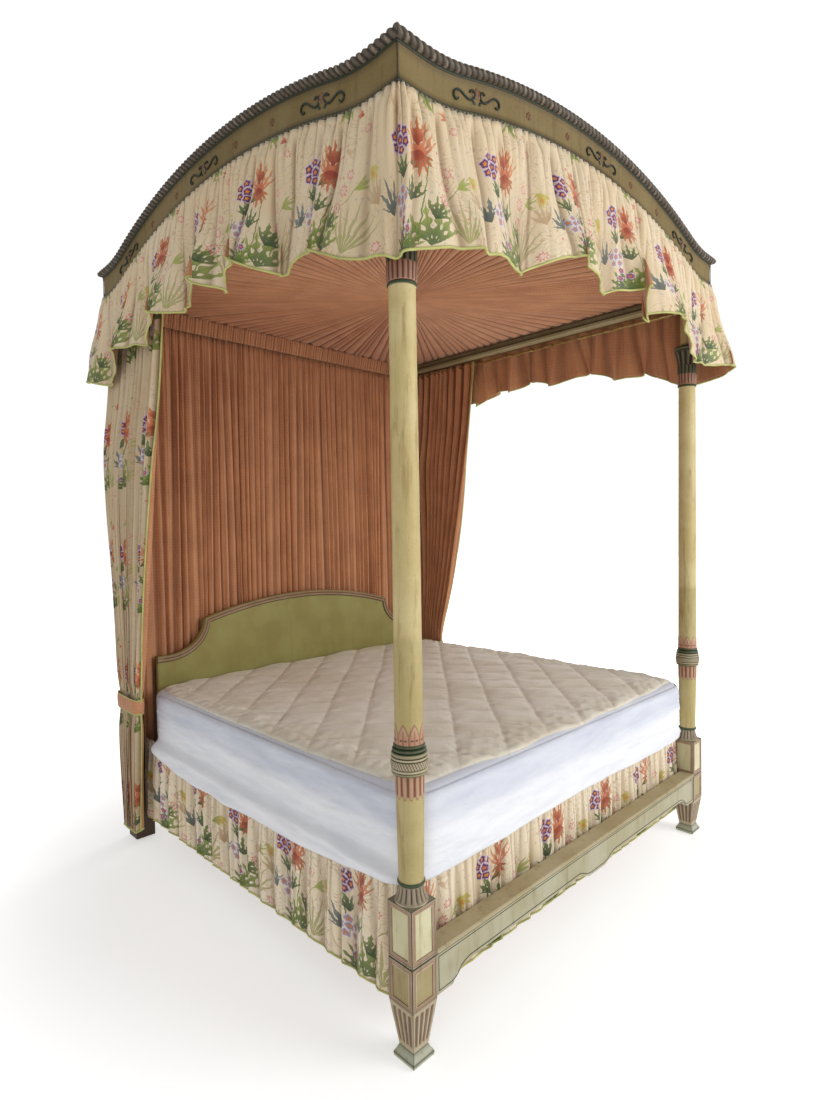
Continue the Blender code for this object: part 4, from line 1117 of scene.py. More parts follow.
def fluted_leg(name, centre):
    """The tapered square leg with four flutes on each face, on its bevelled foot."""
    half_foot, half_neck, half_top = 0.0455, 0.032, 0.0525
    heights = np.concatenate([[0.0, 0.004, 0.010, 0.0145, 0.020, 0.028, 0.036, 0.0395],
                              np.linspace(0.041, BLOCK_LOW, 40)])
    halves = [half_foot - 0.004, half_foot - 0.001, half_foot, half_foot, 0.0425, 0.0375, 0.0335, half_neck]
    halves += list(np.interp(heights[8:], [0.041, 0.150, BLOCK_LOW], [half_neck, 0.0485, half_top]))
    halves = np.array(halves)
    per_side = 36
    colours = []

    def place(u, v):
        ring = np.rint(v * (len(heights) - 1)).astype(int)
        height, half = heights[ring], halves[ring]
        u = np.where(u > 0.9999, 0.0, u)
        side = np.minimum((u * 4).astype(int), 3)
        t = (u * 4 - side) * 2 - 1
        corner = np.maximum(0.0, np.abs(t) - 0.965)
        fade = between(height, (0.052, 0.060), (0.164, 0.172))
        flute = np.zeros_like(t)
        for middle in (-0.66, -0.22, 0.22, 0.66):
            flute = np.maximum(flute, 1 - ((t - middle) / 0.155) ** 2)
        flute = np.clip(flute, 0, 1) ** 0.6 * fade
        depth = half - 0.0042 * flute - corner * half * 0.6
        along = t * half
        x = np.choose(side, [along, depth, -along, -depth])
        y = np.choose(side, [-depth, along, depth, -along])
        tone = mixed((0.50, 0.41, 0.28), (0.20, 0.135, 0.09), smoothstep(0.15, 0.8, flute))
        tone = mixed(tone, GREY_DARK, smoothstep(0.93, 0.975, np.abs(t)) * 0.75)
        foot = 1 - smoothstep(0.0385, 0.0405, height)
        tone = mixed(tone, mixed((0.46, 0.46, 0.35), GREY_DARK, smoothstep(0.94, 0.985, np.abs(t))), foot)
        line = ridge(height - 0.0385, 0.0022) + ridge(height - 0.014, 0.0013)
        tone = mixed(tone, DARK_GREEN, np.clip(line, 0, 1))
        colours.append(tone)
        return x + centre[0], y + centre[1], height

    obj = mapped(name, per_side * 4, len(heights) - 1, place)
    paint(obj, colours[-1])
    sew(obj, capped=True)
    bpy.ops.object.shade_smooth_by_angle(angle=math.radians(40))
    return obj


def squared(name, centre, low, high, side, arris=0.004, segments=3):
    """A square block between two heights, with its arrises softened."""
    obj = added(name, bpy.ops.mesh.primitive_cube_add, size=1.0, location=(*centre, (low + high) / 2))
    obj.scale = (side, side, high - low)
    bpy.ops.object.transform_apply(location=True, rotation=True, scale=True)
    modify(obj, "BEVEL", width=arris, segments=segments, limit_method="ANGLE")
    return obj


def panelled_block(name, centre, low, high, side, panel):
    """A square block with a mitred border round a sunk panel on each face."""
    arris = 0.0022
    obj = squared(name, centre, low, high, side, arris, 2)
    bpy.ops.object.mode_set(mode="EDIT")
    bpy.ops.mesh.select_mode(type="FACE")
    bpy.ops.mesh.select_all(action="DESELECT")
    bpy.ops.object.mode_set(mode="OBJECT")
    for face in obj.data.polygons:
        face.select = abs(face.normal.z) < 0.1 and face.area > 0.5 * side * (high - low)
    bpy.ops.object.mode_set(mode="EDIT")
    rings = ((0.0030, 0.0), (0.0012, -0.0010), (0.0100, 0.0), (0.0016, 0.0008), (0.0014, -0.0026))
    for thickness, depth in rings:
        bpy.ops.mesh.inset(thickness=thickness, depth=depth, use_individual=True)
    bpy.ops.mesh.select_mode(type="VERT")
    bpy.ops.object.mode_set(mode="OBJECT")
    edges = np.cumsum([arris] + [ring[0] for ring in rings])
    tones = ((0.42, 0.37, 0.26), (0.16, 0.11, 0.07), (0.37, 0.24, 0.16), (0.60, 0.52, 0.38),
             (0.22, 0.16, 0.10), panel)
    points = points_of(obj) - np.array([centre[0], centre[1], 0.0])
    layer = obj.data.color_attributes.new("paint", "FLOAT_COLOR", "CORNER")
    for face in obj.data.polygons:
        corners = points[list(face.vertices)]
        across = np.minimum(np.abs(corners[:, 0]), np.abs(corners[:, 1]))
        inset = np.minimum(side / 2 - across, np.minimum(corners[:, 2] - low, high - corners[:, 2]))
        ring = int(np.searchsorted(edges - 0.0004, inset.min(), side="right")) - 1
        flat = abs(face.normal.x) > 0.9 or abs(face.normal.y) > 0.9
        tone = GREY_DARK if ring < 0 or (ring == 0 and not flat) else tones[min(ring, len(tones) - 1)]
        if abs(face.normal.z) > 0.9:
            tone = (0.20, 0.17, 0.11)
        for loop in face.loop_indices:
            layer.data[loop].color = (*tone, 1.0)
    bpy.ops.object.shade_smooth_by_angle(angle=math.radians(30))
    return obj


def build_foot_posts():
    for hand, x in (("left", -POST_X), ("right", POST_X)):
        centre = (x, -POST_Y)
        stem = turned(f"foot_turning_{hand}", lower_profile(), centre, 112, lower_shape)
        paint_turning(stem, centre, lower_colour)
        leg = fluted_leg(f"foot_leg_{hand}", centre)
        low = panelled_block(f"foot_block_low_{hand}", centre, BLOCK_LOW, BLOCK_SPLIT - 0.0012, BLOCK_SIDE,
                             (0.40, 0.32, 0.16))
        high = panelled_block(f"foot_block_high_{hand}", centre, BLOCK_SPLIT + 0.0012, BLOCK_TOP, BLOCK_SIDE,
                              (0.65, 0.61, 0.39))
        neck = squared(f"foot_block_neck_{hand}", centre, BLOCK_SPLIT - 0.004, BLOCK_SPLIT + 0.004,
                       BLOCK_SIDE - 0.006)
        paint_plain(neck, GREY_DARK)
        post = joined(f"carved_foot_post_lower_{hand}", [stem, leg, low, high, neck])
        dress(post, MATERIALS["post"])
        seat(post, "bed", "celery_paint", f"foot_post_lower_{hand}")
        shaft = turned(f"carved_foot_post_upper_{hand}", upper_profile(), centre, 112, upper_shape)
        paint_turning(shaft, centre, upper_colour)
        dress(shaft, MATERIALS["post"])
        seat(shaft, "bed", "celery_paint", f"foot_post_upper_{hand}")


def build_head_posts():
    for hand, x in (("left", -POST_X), ("right", POST_X)):
        centre = (x, POST_Y)
        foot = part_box(f"head_post_lower_{hand}")[0].z
        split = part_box(f"head_post_upper_{hand}")[0].z
        block = squared(f"head_block_{hand}", centre, foot, BLOCK_TOP, 0.100)
        line = [(BLOCK_TOP + 0.0005, 0.046), (0.515, 0.0415), (0.530, 0.0405)]
        line += [(h, 0.0418) for h in np.linspace(0.56, split - 0.001, 14)]
        stem = turned(f"head_stem_{hand}", line, centre, 48)
        lower = joined(f"turned_head_post_lower_{hand}", [block, stem])
        dress(lower, MATERIALS["brown"])
        seat(lower, "bed", "brown_stain", f"head_post_lower_{hand}")
        heights = np.linspace(split + 0.0002, TESTER_Z - 0.0003, 40)
        line = [(h, 0.0418 - 0.0012 * (h - split) / 1.6) for h in heights]
        upper = turned(f"turned_head_post_upper_{hand}", line, centre, 48)
        dress(upper, MATERIALS["brown"])
        seat(upper, "bed", "brown_stain", f"head_post_upper_{hand}")


# ---- Rails and headboard ---------------------------------------------------------------------------
def rail_edge(inset):
    """The foot rail's outline: brackets beside the posts and a shallow pendant, set in by inset."""
    low, high = 0.228 + inset, 0.315 - inset
    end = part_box("foot_rail")[1].x - inset
    half = [(0.0, low - 0.027), (0.050, low - 0.027), (0.085, low - 0.021), (0.108, low - 0.010),
            (0.138, low), (end - 0.150, low), (end - 0.122, low - 0.006), (end - 0.104, low - 0.014),
            (end - 0.094, low - 0.027), (end - 0.078, low - 0.038), (end - 0.060, low - 0.043),
            (end, low - 0.043)]
    right = half + [(end, high)]
    return right + [(-x, z) for x, z in reversed(right)]


def build_rails():
    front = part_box("foot_rail")[0].y
    line = np.array([(x, front, z) for x, z in rail_edge(0.011)])
    lining = piping("foot_rail_lining", line, PAINTED_LINE, MATERIALS["line"], closed=True)
    seat(lining, "bed", "celery_paint")
    low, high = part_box("foot_ledge")
    edge = np.array([(x, low.y + 0.0012, low.z + 0.0030) for x in (low.x + 0.001, high.x - 0.001)])
    rim = piping("foot_ledge_lining", edge, PAINTED_LINE, MATERIALS["line"])
    seat(rim, "bed", "celery_paint")
    dress(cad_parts["foot_rail"], MATERIALS["rail_face"])
    dress(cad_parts["foot_ledge"], MATERIALS["ledge"])
    for name in ("head_rail", "side_rail_left", "side_rail_right"):
        dress(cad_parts[name], MATERIALS["brown"])
    for name in ["centre_beam", "slat_cleat_left", "slat_cleat_right", "tester_stretcher", "centre_leg_foot",
                 "centre_leg_head"] + [f"slat_{i}" for i in range(1, 7)]:
        dress(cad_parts[name], MATERIALS["timber"])
    for end in ("foot", "head"):
        for hand in ("left", "right"):
            dress(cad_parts[f"tester_pin_{end}_{hand}"], MATERIALS["steel"])
    for hand in ("left", "right", "head"):
        dress(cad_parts[f"curtain_rod_{hand}"], MATERIALS["brass"])


HEADBOARD_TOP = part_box("headboard_panel")[1].z
HEADBOARD_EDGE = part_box("headboard_panel")[1].x
ARC_RISE = 0.102              # of the headboard's middle arc, over its shoulders


def headboard_line(inset, count):
    """Top edge of the headboard from the left wing to the right one, set in by inset."""
    shoulder = HEADBOARD_EDGE - 0.275
    shoulder_z, wing_z = HEADBOARD_TOP - ARC_RISE, HEADBOARD_TOP - 0.279
    radius = (shoulder ** 2 + ARC_RISE ** 2) / (2 * ARC_RISE)
    line = []
    for x in np.linspace(0, shoulder - inset * 0.6, 60):
        line.append((x, HEADBOARD_TOP - radius + math.sqrt(radius ** 2 - x ** 2) - inset))
    for angle in np.linspace(0, math.pi / 2, 40):
        x = shoulder + 0.210 * (1 - math.cos(angle)) - inset * math.cos(angle)
        z = shoulder_z - (shoulder_z - wing_z) * math.sin(angle) - inset * math.sin(angle)
        if line[-1][1] - z > 0.0005:
            line.append((x, z))
    line.append((HEADBOARD_EDGE, wing_z - inset))
    full = np.array([(-x, z) for x, z in reversed(line[1:])] + line)
    runs = np.concatenate([[0.0], np.cumsum(np.linalg.norm(np.diff(full, axis=0), axis=1))])
    even = np.linspace(0, runs[-1], count)
    return np.stack([np.interp(even, runs, full[:, i]) for i in (0, 1)], axis=1)


def build_headboard():
    low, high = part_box("headboard_moulding")
    section = ((0.0, 0.0), (0.0, 0.6), (0.10, 0.85), (0.22, 0.95), (0.34, 0.80), (0.42, 0.55), (0.46, 0.42),
               (0.56, 0.66), (0.68, 0.86), (0.80, 0.78), (0.88, 0.50), (0.92, 0.30), (1.0, 0.28), (1.0, 0.0))
    tones = ((0.28, 0.21, 0.11),) * 2 + ((0.30, 0.22, 0.12),) * 2 + ((0.36, 0.25, 0.15),)
    tones += ((0.10, 0.06, 0.03),) * 2 + ((0.38, 0.25, 0.17),) * 3
    tones += ((0.24, 0.15, 0.09), (0.06, 0.04, 0.02), (0.06, 0.04, 0.02), (0.10, 0.07, 0.03))
    width, last = 0.034, 239
    lines = {w: headboard_line(w * width, last + 1) for w, _ in section}
    thick = high.y - low.y
    ring = []

    def place(u, v):
        i = np.rint(u * last).astype(int)
        j = np.rint(v * (len(section) - 1)).astype(int)
        ring.append(j)
        x = np.array([lines[section[b][0]][a][0] for a, b in zip(i, j)])
        z = np.array([lines[section[b][0]][a][1] for a, b in zip(i, j)])
        y = np.array([high.y - thick * section[b][1] for b in j])
        return x, y, z

    moulding = mapped("headboard_bolection", last, len(section) - 1, place)
    paint(moulding, np.array(tones)[ring[-1]])
    sew(moulding, capped=True)
    bpy.ops.object.shade_smooth_by_angle(angle=math.radians(40))
    dress(moulding, MATERIALS["trim"])
    seat(moulding, "bed", "tan_moulding", "headboard_moulding")
    low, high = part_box("headboard_panel")
    edge = headboard_line(0.0, 160)

    def panel_place(u, v):
        i = np.rint(u * 159).astype(int)
        return edge[i, 0], low.y, low.z + (edge[i, 1] - low.z) * v

    panel = mapped("olive_headboard", 159, 40, panel_place)
    dress(panel, MATERIALS["headboard"])
    modify(panel, "SOLIDIFY", thickness=high.y - low.y, offset=-1.0)
    seat(panel, "bed", "olive_paint", "headboard_panel")


# ---- Tester: cornice, relief and inner moulding -------------------------------------------------------
REED = 0.0265
BEAD = 0.0185


def cornice_profile():
    """(out, drop from the top line, kind) round the cornice, from the back of the top to the soffit.

    The kinds are 0 and 1 top, 2 reeds, 3 fillet, 4 frieze, 5 quirks, 6 bead and 7 soffit.
    """
    face = CORNICE_FACE
    line = [(CORNICE_BACK, -0.006, 0), (face - 0.004, -0.004, 0), (face + 0.004, -0.001, 1)]
    for t in np.linspace(0, 1, 13):
        angle = math.radians(100 - 190 * t)
        line.append((face + 0.0075 + 0.0150 * math.cos(angle), -0.0165 + 0.0155 * math.sin(angle), 2))
    line += [(face + 0.006, -0.0335, 3), (face + 0.003, -0.0345, 3), (face + 0.0024, -0.0385, 3),
             (face, -0.0392, 4), (face - 0.0014, -0.060, 4), (face - 0.0018, -0.088, 4),
             (face - 0.0014, -0.115, 4), (face, -0.1330, 4), (face + 0.0012, -0.1336, 5),
             (face + 0.0026, -0.1375, 5)]
    for t in np.linspace(0, 1, 6):
        angle = math.radians(80 - 160 * t)
        line.append((face + 0.0015 + 0.0058 * math.cos(angle), -0.1462 + 0.0072 * math.sin(angle), 6))
    line += [(face + 0.001, -0.1540, 5), (face - 0.001, -0.1548, 5), (face - 0.001, -0.170, 7),
             (CORNICE_BACK, -0.170, 7), (CORNICE_BACK, -0.006, 0)]
    return line


def build_cornice_side(side):
    profile = cornice_profile()
    outs, drops, kinds = (np.array([p[i] for p in profile]) for i in range(3))
    half = HALF[side]
    across = 880
    ring = []

    def place(u, v):
        j = np.rint(v * (len(profile) - 1)).astype(int)
        out, drop, kind = outs[j], drops[j], kinds[j]
        along = (u * 2 - 1) * (half + out - 0.0004)
        reed = np.abs(np.sin(math.pi * (along / REED + (drop + 0.016) * 26))) ** 0.75
        bead = np.abs(np.sin(math.pi * along / BEAD)) ** 0.8
        lift = (kind == 2) * 0.0048 * (reed - 0.85) + (kind == 6) * 0.0032 * (bead - 0.8)
        fall = (kind == 2) * 0.004 * (reed - 0.85) * (drop > -0.010)
        height = CORNICE_TOP + arch(along, half) + drop + fall
        height = np.where(kind == 7, np.minimum(height, TESTER_Z + 0.0004), height)
        ring.append((kind, reed, bead, along, drop))
        return on_side(side, along, out + lift, height)

    obj = mapped(f"carved_cornice_{side}", across, len(profile) - 1, place)
    kind, reed, bead, along, drop = ring[-1]
    tone = np.tile(np.array((0.205, 0.145, 0.050)), (len(kind), 1))
    crest = mixed((0.030, 0.024, 0.017), (0.120, 0.092, 0.066), smoothstep(0.40, 0.92, reed))
    cream = (np.sin(along * 171.0) * np.sin(along * 57.3 + 1) > 0.55) * smoothstep(0.6, 0.95, reed)
    crest = mixed(crest, (0.34, 0.27, 0.20), cream * 0.6)
    tone = mixed(tone, (0.10, 0.078, 0.055), (kind <= 1) * 1.0)
    tone = mixed(tone, crest, (kind == 2) * 1.0)
    tone = mixed(tone, (0.035, 0.042, 0.025), ((kind == 3) | (kind == 5)) * 1.0)
    beads = mixed((0.030, 0.032, 0.022), (0.20, 0.17, 0.11), smoothstep(0.45, 0.9, bead))
    tone = mixed(tone, beads, (kind == 6) * 1.0)
    # Painted shade: the frieze darkens within about 12 mm of the mouldings above and below it.
    moulding_shade = smoothstep(0.012, 0.0, np.minimum(np.abs(drop + 0.040), np.abs(drop + 0.133)))
    tone = mixed(tone, (0.09, 0.065, 0.035), (kind == 4) * moulding_shade * 0.6)
    mitre = smoothstep(0.010, 0.0, HALF[side] + CORNICE_FACE - np.abs(along))
    tone = mixed(tone, (0.02, 0.018, 0.012), mitre * (kind > 2) * 0.9)
    paint(obj, tone)
    sew(obj, capped=True)
    bpy.ops.object.shade_smooth_by_angle(angle=math.radians(60))
    dress(obj, MATERIALS["cornice"])
    seat(obj, "bed", "olive_frieze", f"cornice_{side}")


def build_mitre_lines():
    """Dark glued joints where the cornice sides meet."""
    lines = []
    out = CORNICE_FACE + 0.0006
    for sx in (-1, 1):
        for sy in (-1, 1):
            x, y = sx * (POST_X + out), sy * (POST_Y + out)
            line = np.array([(x, y, CORNICE_TOP - 0.034), (x, y, CORNICE_TOP - CORNICE_DROP + 0.001)])
            lines.append(piping(f"mitre_{sx}_{sy}", line, PAINTED_LINE, MATERIALS["carving"]))
    obj = joined("cornice_mitre_lines", lines)
    paint_plain(obj, GREY_DARK)
    dress(obj, MATERIALS["carving"])
    seat(obj, "bed", "olive_frieze")


def scroll_line(sign, size):
    """An S scroll, wound in at both ends, whose outer end is the higher one."""
    t = np.linspace(-1, 1, 70)
    heading = math.radians(-32) + 4.9 * t ** 2
    x, y = np.cumsum(np.cos(heading)), np.cumsum(np.sin(heading))
    x, y = x - (x.max() + x.min()) / 2, y - (y.max() + y.min()) / 2
    scale = size / (x.max() - x.min())
    return [(sign * (size * 0.64 - scale * a), scale * b) for a, b in zip(x, y)]


def relief_points(side, middle, line, out):
    """Lays a line of (along, up) over the frieze of one side, following the arch."""
    flat = np.array(line)
    along = middle + flat[:, 0]
    height = CORNICE_TOP + arch(along, HALF[side]) - FRIEZE_MIDDLE + flat[:, 1]
    return np.stack(on_side(side, along, np.full(len(along), out), height), axis=1)


def relief_leaf(name, side, middle, up, size, turn, tone):
    """A pointed leaf or petal, crowned in the middle."""
    def place(u, v):
        width = np.sin(v * math.pi) ** 0.7 * size * 0.32
        a = (u * 2 - 1) * width
        b = v * size
        along = middle + a * math.cos(turn) - b * math.sin(turn)
        high = up + a * math.sin(turn) + b * math.cos(turn)
        lift = 0.0045 * np.cos((u * 2 - 1) * math.pi / 2) * np.sin(v * math.pi) ** 0.5 - 0.0018
        height = CORNICE_TOP + arch(along, HALF[side]) - FRIEZE_MIDDLE + high
        return on_side(side, along, CORNICE_FACE - 0.0010 + lift, height)
    obj = mapped(name, 6, 8, place)
    bpy.ops.object.mode_set(mode="EDIT")
    bpy.ops.mesh.select_all(action="SELECT")
    bpy.ops.mesh.remove_doubles(threshold=0.00005)
    bpy.ops.object.mode_set(mode="OBJECT")
    modify(obj, "SOLIDIFY", thickness=0.002, offset=0.0)
    paint_plain(obj, tone)
    return obj


def build_relief(side):
    """Scroll pairs with a leaf crest, and small flowers between them."""
    pieces = []
    half = HALF[side]
    blue, ochre, red = (0.030, 0.042, 0.036), (0.19, 0.115, 0.050), (0.17, 0.062, 0.030)
    for n, middle in enumerate((-0.75 * half, 0.0, 0.75 * half)):
        for sign in (-1, 1):
            points = relief_points(side, middle, scroll_line(sign, 0.098), CORNICE_FACE + 0.0012)
            tube = piping(f"scroll_{side}_{n}_{sign + 1}", points, 0.0034, MATERIALS["carving"])
            paint_plain(tube, blue)
            tip = relief_leaf(f"tip_{side}_{n}_{sign + 1}", side, middle + sign * 0.022, -0.012, 0.018,
                              sign * 2.2, blue)
            pieces += [tube, tip]
        for k, turn in enumerate((-1.0, -0.5, 0.0, 0.5, 1.0)):
            size = 0.036 - 0.006 * abs(turn)
            tone = red if k % 2 else ochre
            pieces.append(relief_leaf(f"crest_{side}_{n}_{k}", side, middle, -0.004, size, turn, tone))
    for n, share in enumerate((-0.48, -0.24, 0.24, 0.48)):
        for k in range(6):
            tone = red if k % 2 else ochre
            pieces.append(relief_leaf(f"floret_{side}_{n}_{k}", side, share * half, 0.0, 0.0150,
                                      TAU * k / 6, tone))
    relief = joined(f"cornice_relief_{side}", pieces)
    dress(relief, MATERIALS["carving"])
    bpy.ops.object.shade_smooth_by_angle(angle=math.radians(60))
    seat(relief, "bed", "olive_frieze")


def build_tester_frame():
    """An ogee moulding round the inside of the tester, under the gathered ceiling."""
    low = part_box("tester_rail_foot")[0]
    inner_x, inner_y = POST_X - 0.035, POST_Y - 0.035
    section = ((0.0, 0.034), (-0.006, 0.034), (-0.010, 0.030), (-0.013, 0.024), (-0.012, 0.018),
               (-0.008, 0.013), (-0.006, 0.008), (-0.009, 0.004), (-0.009, -0.003), (0.026, -0.003),
               (0.026, -0.0005), (0.0, -0.0005), (0.0, 0.034))
    tones = ((0.20, 0.17, 0.09),) * 4 + ((0.13, 0.11, 0.055),) * 3 + ((0.05, 0.045, 0.022),)
    tones += ((0.22, 0.19, 0.10),) * 5
    ring = []

    def place(u, v):
        j = np.rint(v * (len(section) - 1)).astype(int)
        ring.append(j)
        out, up = np.array(section)[j].T
        corner = np.rint(u * 4).astype(int) % 4
        sx = np.array([-1, 1, 1, -1])[corner]
        sy = np.array([-1, -1, 1, 1])[corner]
        return sx * (inner_x + out), sy * (inner_y + out), low.z + up

    obj = mapped("tester_inner_moulding", 4, len(section) - 1, place)
    paint(obj, np.array(tones)[ring[-1]])
    sew(obj)
    bpy.ops.object.shade_smooth_by_angle(angle=math.radians(50))
    dress(obj, MATERIALS["post"])
    seat(obj, "bed", "olive_paint")
    for side in SIDES:
        dress(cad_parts[f"tester_rail_{side}"], MATERIALS["ledge"])


# ---- Cloth ------------------------------------------------------------------------------------------
def lined(obj, outer, inner, thickness=0.0024):
    """Gives a sheet its lining on the inner side."""
    dress(obj, outer, inner)
    modify(obj, "SOLIDIFY", thickness=thickness, offset=-1.0, material_offset=1, use_rim=True)


def build_valance():
    """One gathered frill right round the tester, lined, with a corded hem."""
    belly = 0.060                 # the outline runs this far out, so that its corners stay round
    reach = CORNICE_FACE + 0.0055 + belly
    outline = Outline(POST_X + reach, -POST_Y - reach, POST_Y + reach, 0.022 + belly)
    length = outline.length
    broad, medium, fine = waves(length, 22, 11), waves(length, 82, 12), waves(length, 240, 13)
    swing, lift = uneven(length, 37, 14, 0.45, 1.0), uneven(length, 61, 15, -1.0, 1.0)
    gather = uneven(length, 90, 16, 0.35, 1.0)
    folds = []

    def place(u, v):
        down = 1 - v
        distance = u * length
        strong = swing(distance)
        a, b, c = broad(distance), medium(distance), fine(distance)
        fold = smoothstep(0.12, 1.0, down)
        turn_back = smoothstep(0.45, 1.0, down)
        hang = smoothstep(0.0, 0.16, down)
        tight = 1 - 0.75 * smoothstep(0.0, 0.55, down)
        full = gather(distance)
        shift = 0.046 * turn_back * strong * np.sin(2 * a + 0.3) + 0.007 * fold * np.sin(b)
        x, y, nx, ny = outline.at((distance + shift) % length)
        out = 0.0035 + 0.064 * down ** 1.05
        out = out + 0.060 * fold * strong * np.sin(a)
        out = out + 0.0230 * hang * (1 - 0.30 * down) * puffs(b) * full
        out = out + 0.0060 * tight * puffs(c)
        floor = np.interp(down, [0, 0.16, 0.35, 1.0], [-0.004, 0.0012, 0.009, 0.026])
        out = floor + np.logaddexp(0.0, (out - floor) / 0.006) * 0.006
        # Crease (fold valleys) and hollow (puffs, hollow on the lining side) set painted shade in the chintz
        # and lining.
        valley = smoothstep(0.2, 1.0, -np.sin(a)) * fold * strong
        crease = np.maximum(creases(b) * hang * full, 0.7 * creases(c) * tight)
        folds.append((np.maximum(crease, 0.55 * valley), 0.6 * smoothstep(0.2, 1.0, puffs(b)) * full))
        drop = CORNICE_DROP - 0.003 + (VALANCE_DROP + 0.004 + 0.012 * lift(distance)) * down
        drop = drop - 0.044 * turn_back * strong * np.sin(a + 0.4)
        px, py = x + nx * (out - belly), y + ny * (out - belly)
        rise = arch(np.clip(x, -POST_X, POST_X), POST_X) * (np.abs(ny) > 0.99)
        rise = rise + arch(np.clip(y, -POST_Y, POST_Y), POST_Y) * (np.abs(nx) > 0.99)
        return px, py, CORNICE_TOP + rise - drop

    across, down = 1840, 26
    obj = mapped("gathered_valance", across, down, place)
    mark(obj, "crease", folds[-1][0])
    mark(obj, "hollow", folds[-1][1])
    flat = row_lengths(place, across, down)
    set_cloth_uv(obj, flat[0], flat[1], (0.13, 0.10))
    sew(obj, outward=False)
    lined(obj, MATERIALS["chintz"], MATERIALS["lining"])
    seat(obj, "bed", "floral_chintz", *[f"valance_{side}" for side in SIDES])
    hem = np.stack(place(np.linspace(0, 1, 1100, endpoint=False), np.zeros(1100)), axis=1)
    cord = piping("valance_piping", hem, HEM_CORD, MATERIALS["piping"], closed=True)
    seat(cord, "bed", "floral_chintz")


def build_ceiling():
    """Cloth pleated from the tester rails to a tufted rosette in the middle."""
    low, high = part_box("ceiling_lining")
    half_x, half_y, rim_z = high.x, high.y, low.z + 0.004
    middle_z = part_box("ceiling_rosette")[1].z + 0.001
    hub = 0.045                   # radius at which the pleats start, under the rosette
    pleat, wide = waves(1.0, 128, 21, 0.5, 1.6), waves(1.0, 31, 22)
    folds = []

    def place(u, v):
        turn = u * 4
        side = np.floor(turn).astype(int) % 4
        t = (turn - np.floor(turn)) * 2 - 1
        x = np.choose(side, [t * half_x, half_x, -t * half_x, -half_x])
        y = np.choose(side, [-half_y, t * half_y, half_y, -t * half_y])
        share = 1 - v
        reach = hub / np.hypot(x, y)
        scale = reach + (1 - reach) * share
        wave = np.abs(np.sin(pleat(u) / 2)) ** 0.65
        # The pleat creases, stored as hollow, set painted shade in the lining.
        folds.append(creases(pleat(u), 0.55) * smoothstep(0.0, 0.05, share))
        room = np.minimum(0.013, 0.0025 + 0.022 * share)
        sway = 0.0050 * share * np.sin(wide(u) + 2.5 * share)
        height = middle_z + (rim_z - middle_z) * share ** 0.7 - room * (wave - 0.5) + sway * 0.3
        angle = sway * 1.2
        return scale * x - angle * y * share * 0.2, scale * y + angle * x * share * 0.2, height

    obj = mapped("sunburst_ceiling", 1760, 26, place)
    mark(obj, "hollow", folds[-1])
    set_cloth_uv(obj, 8.0, 1.25, (0.0, 0.0))
    sew(obj, outward=False)
    dress(obj, MATERIALS["lining"])
    modify(obj, "SOLIDIFY", thickness=0.0012, offset=0.0)
    seat(obj, "bed", "terracotta_lining", "ceiling_lining")
    low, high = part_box("ceiling_rosette")

    def bud(u, v):
        angle = u * TAU
        radius = 0.050 * v ** 0.85 + 0.0006
        ruffle = 0.0045 * np.sin(angle * 9 + v * 26) * smoothstep(0.1, 0.6, v)
        swirl = 0.0035 * np.sin(angle * 5 - v * 19)
        height = low.z + 0.0035 + (high.z - low.z - 0.005) * v ** 2.2 + ruffle + swirl * (1 - v)
        return radius * np.cos(angle), radius * np.sin(angle), height

    rosette = mapped("tufted_rosette", 120, 26, bud, closed=True)
    set_cloth_uv(rosette, 0.30, 0.06, (0.0, 0.0))
    modify(rosette, "SOLIDIFY", thickness=0.0016, offset=0.0)
    dress(rosette, MATERIALS["lining"])
    seat(rosette, "bed", "terracotta_lining", "ceiling_rosette")


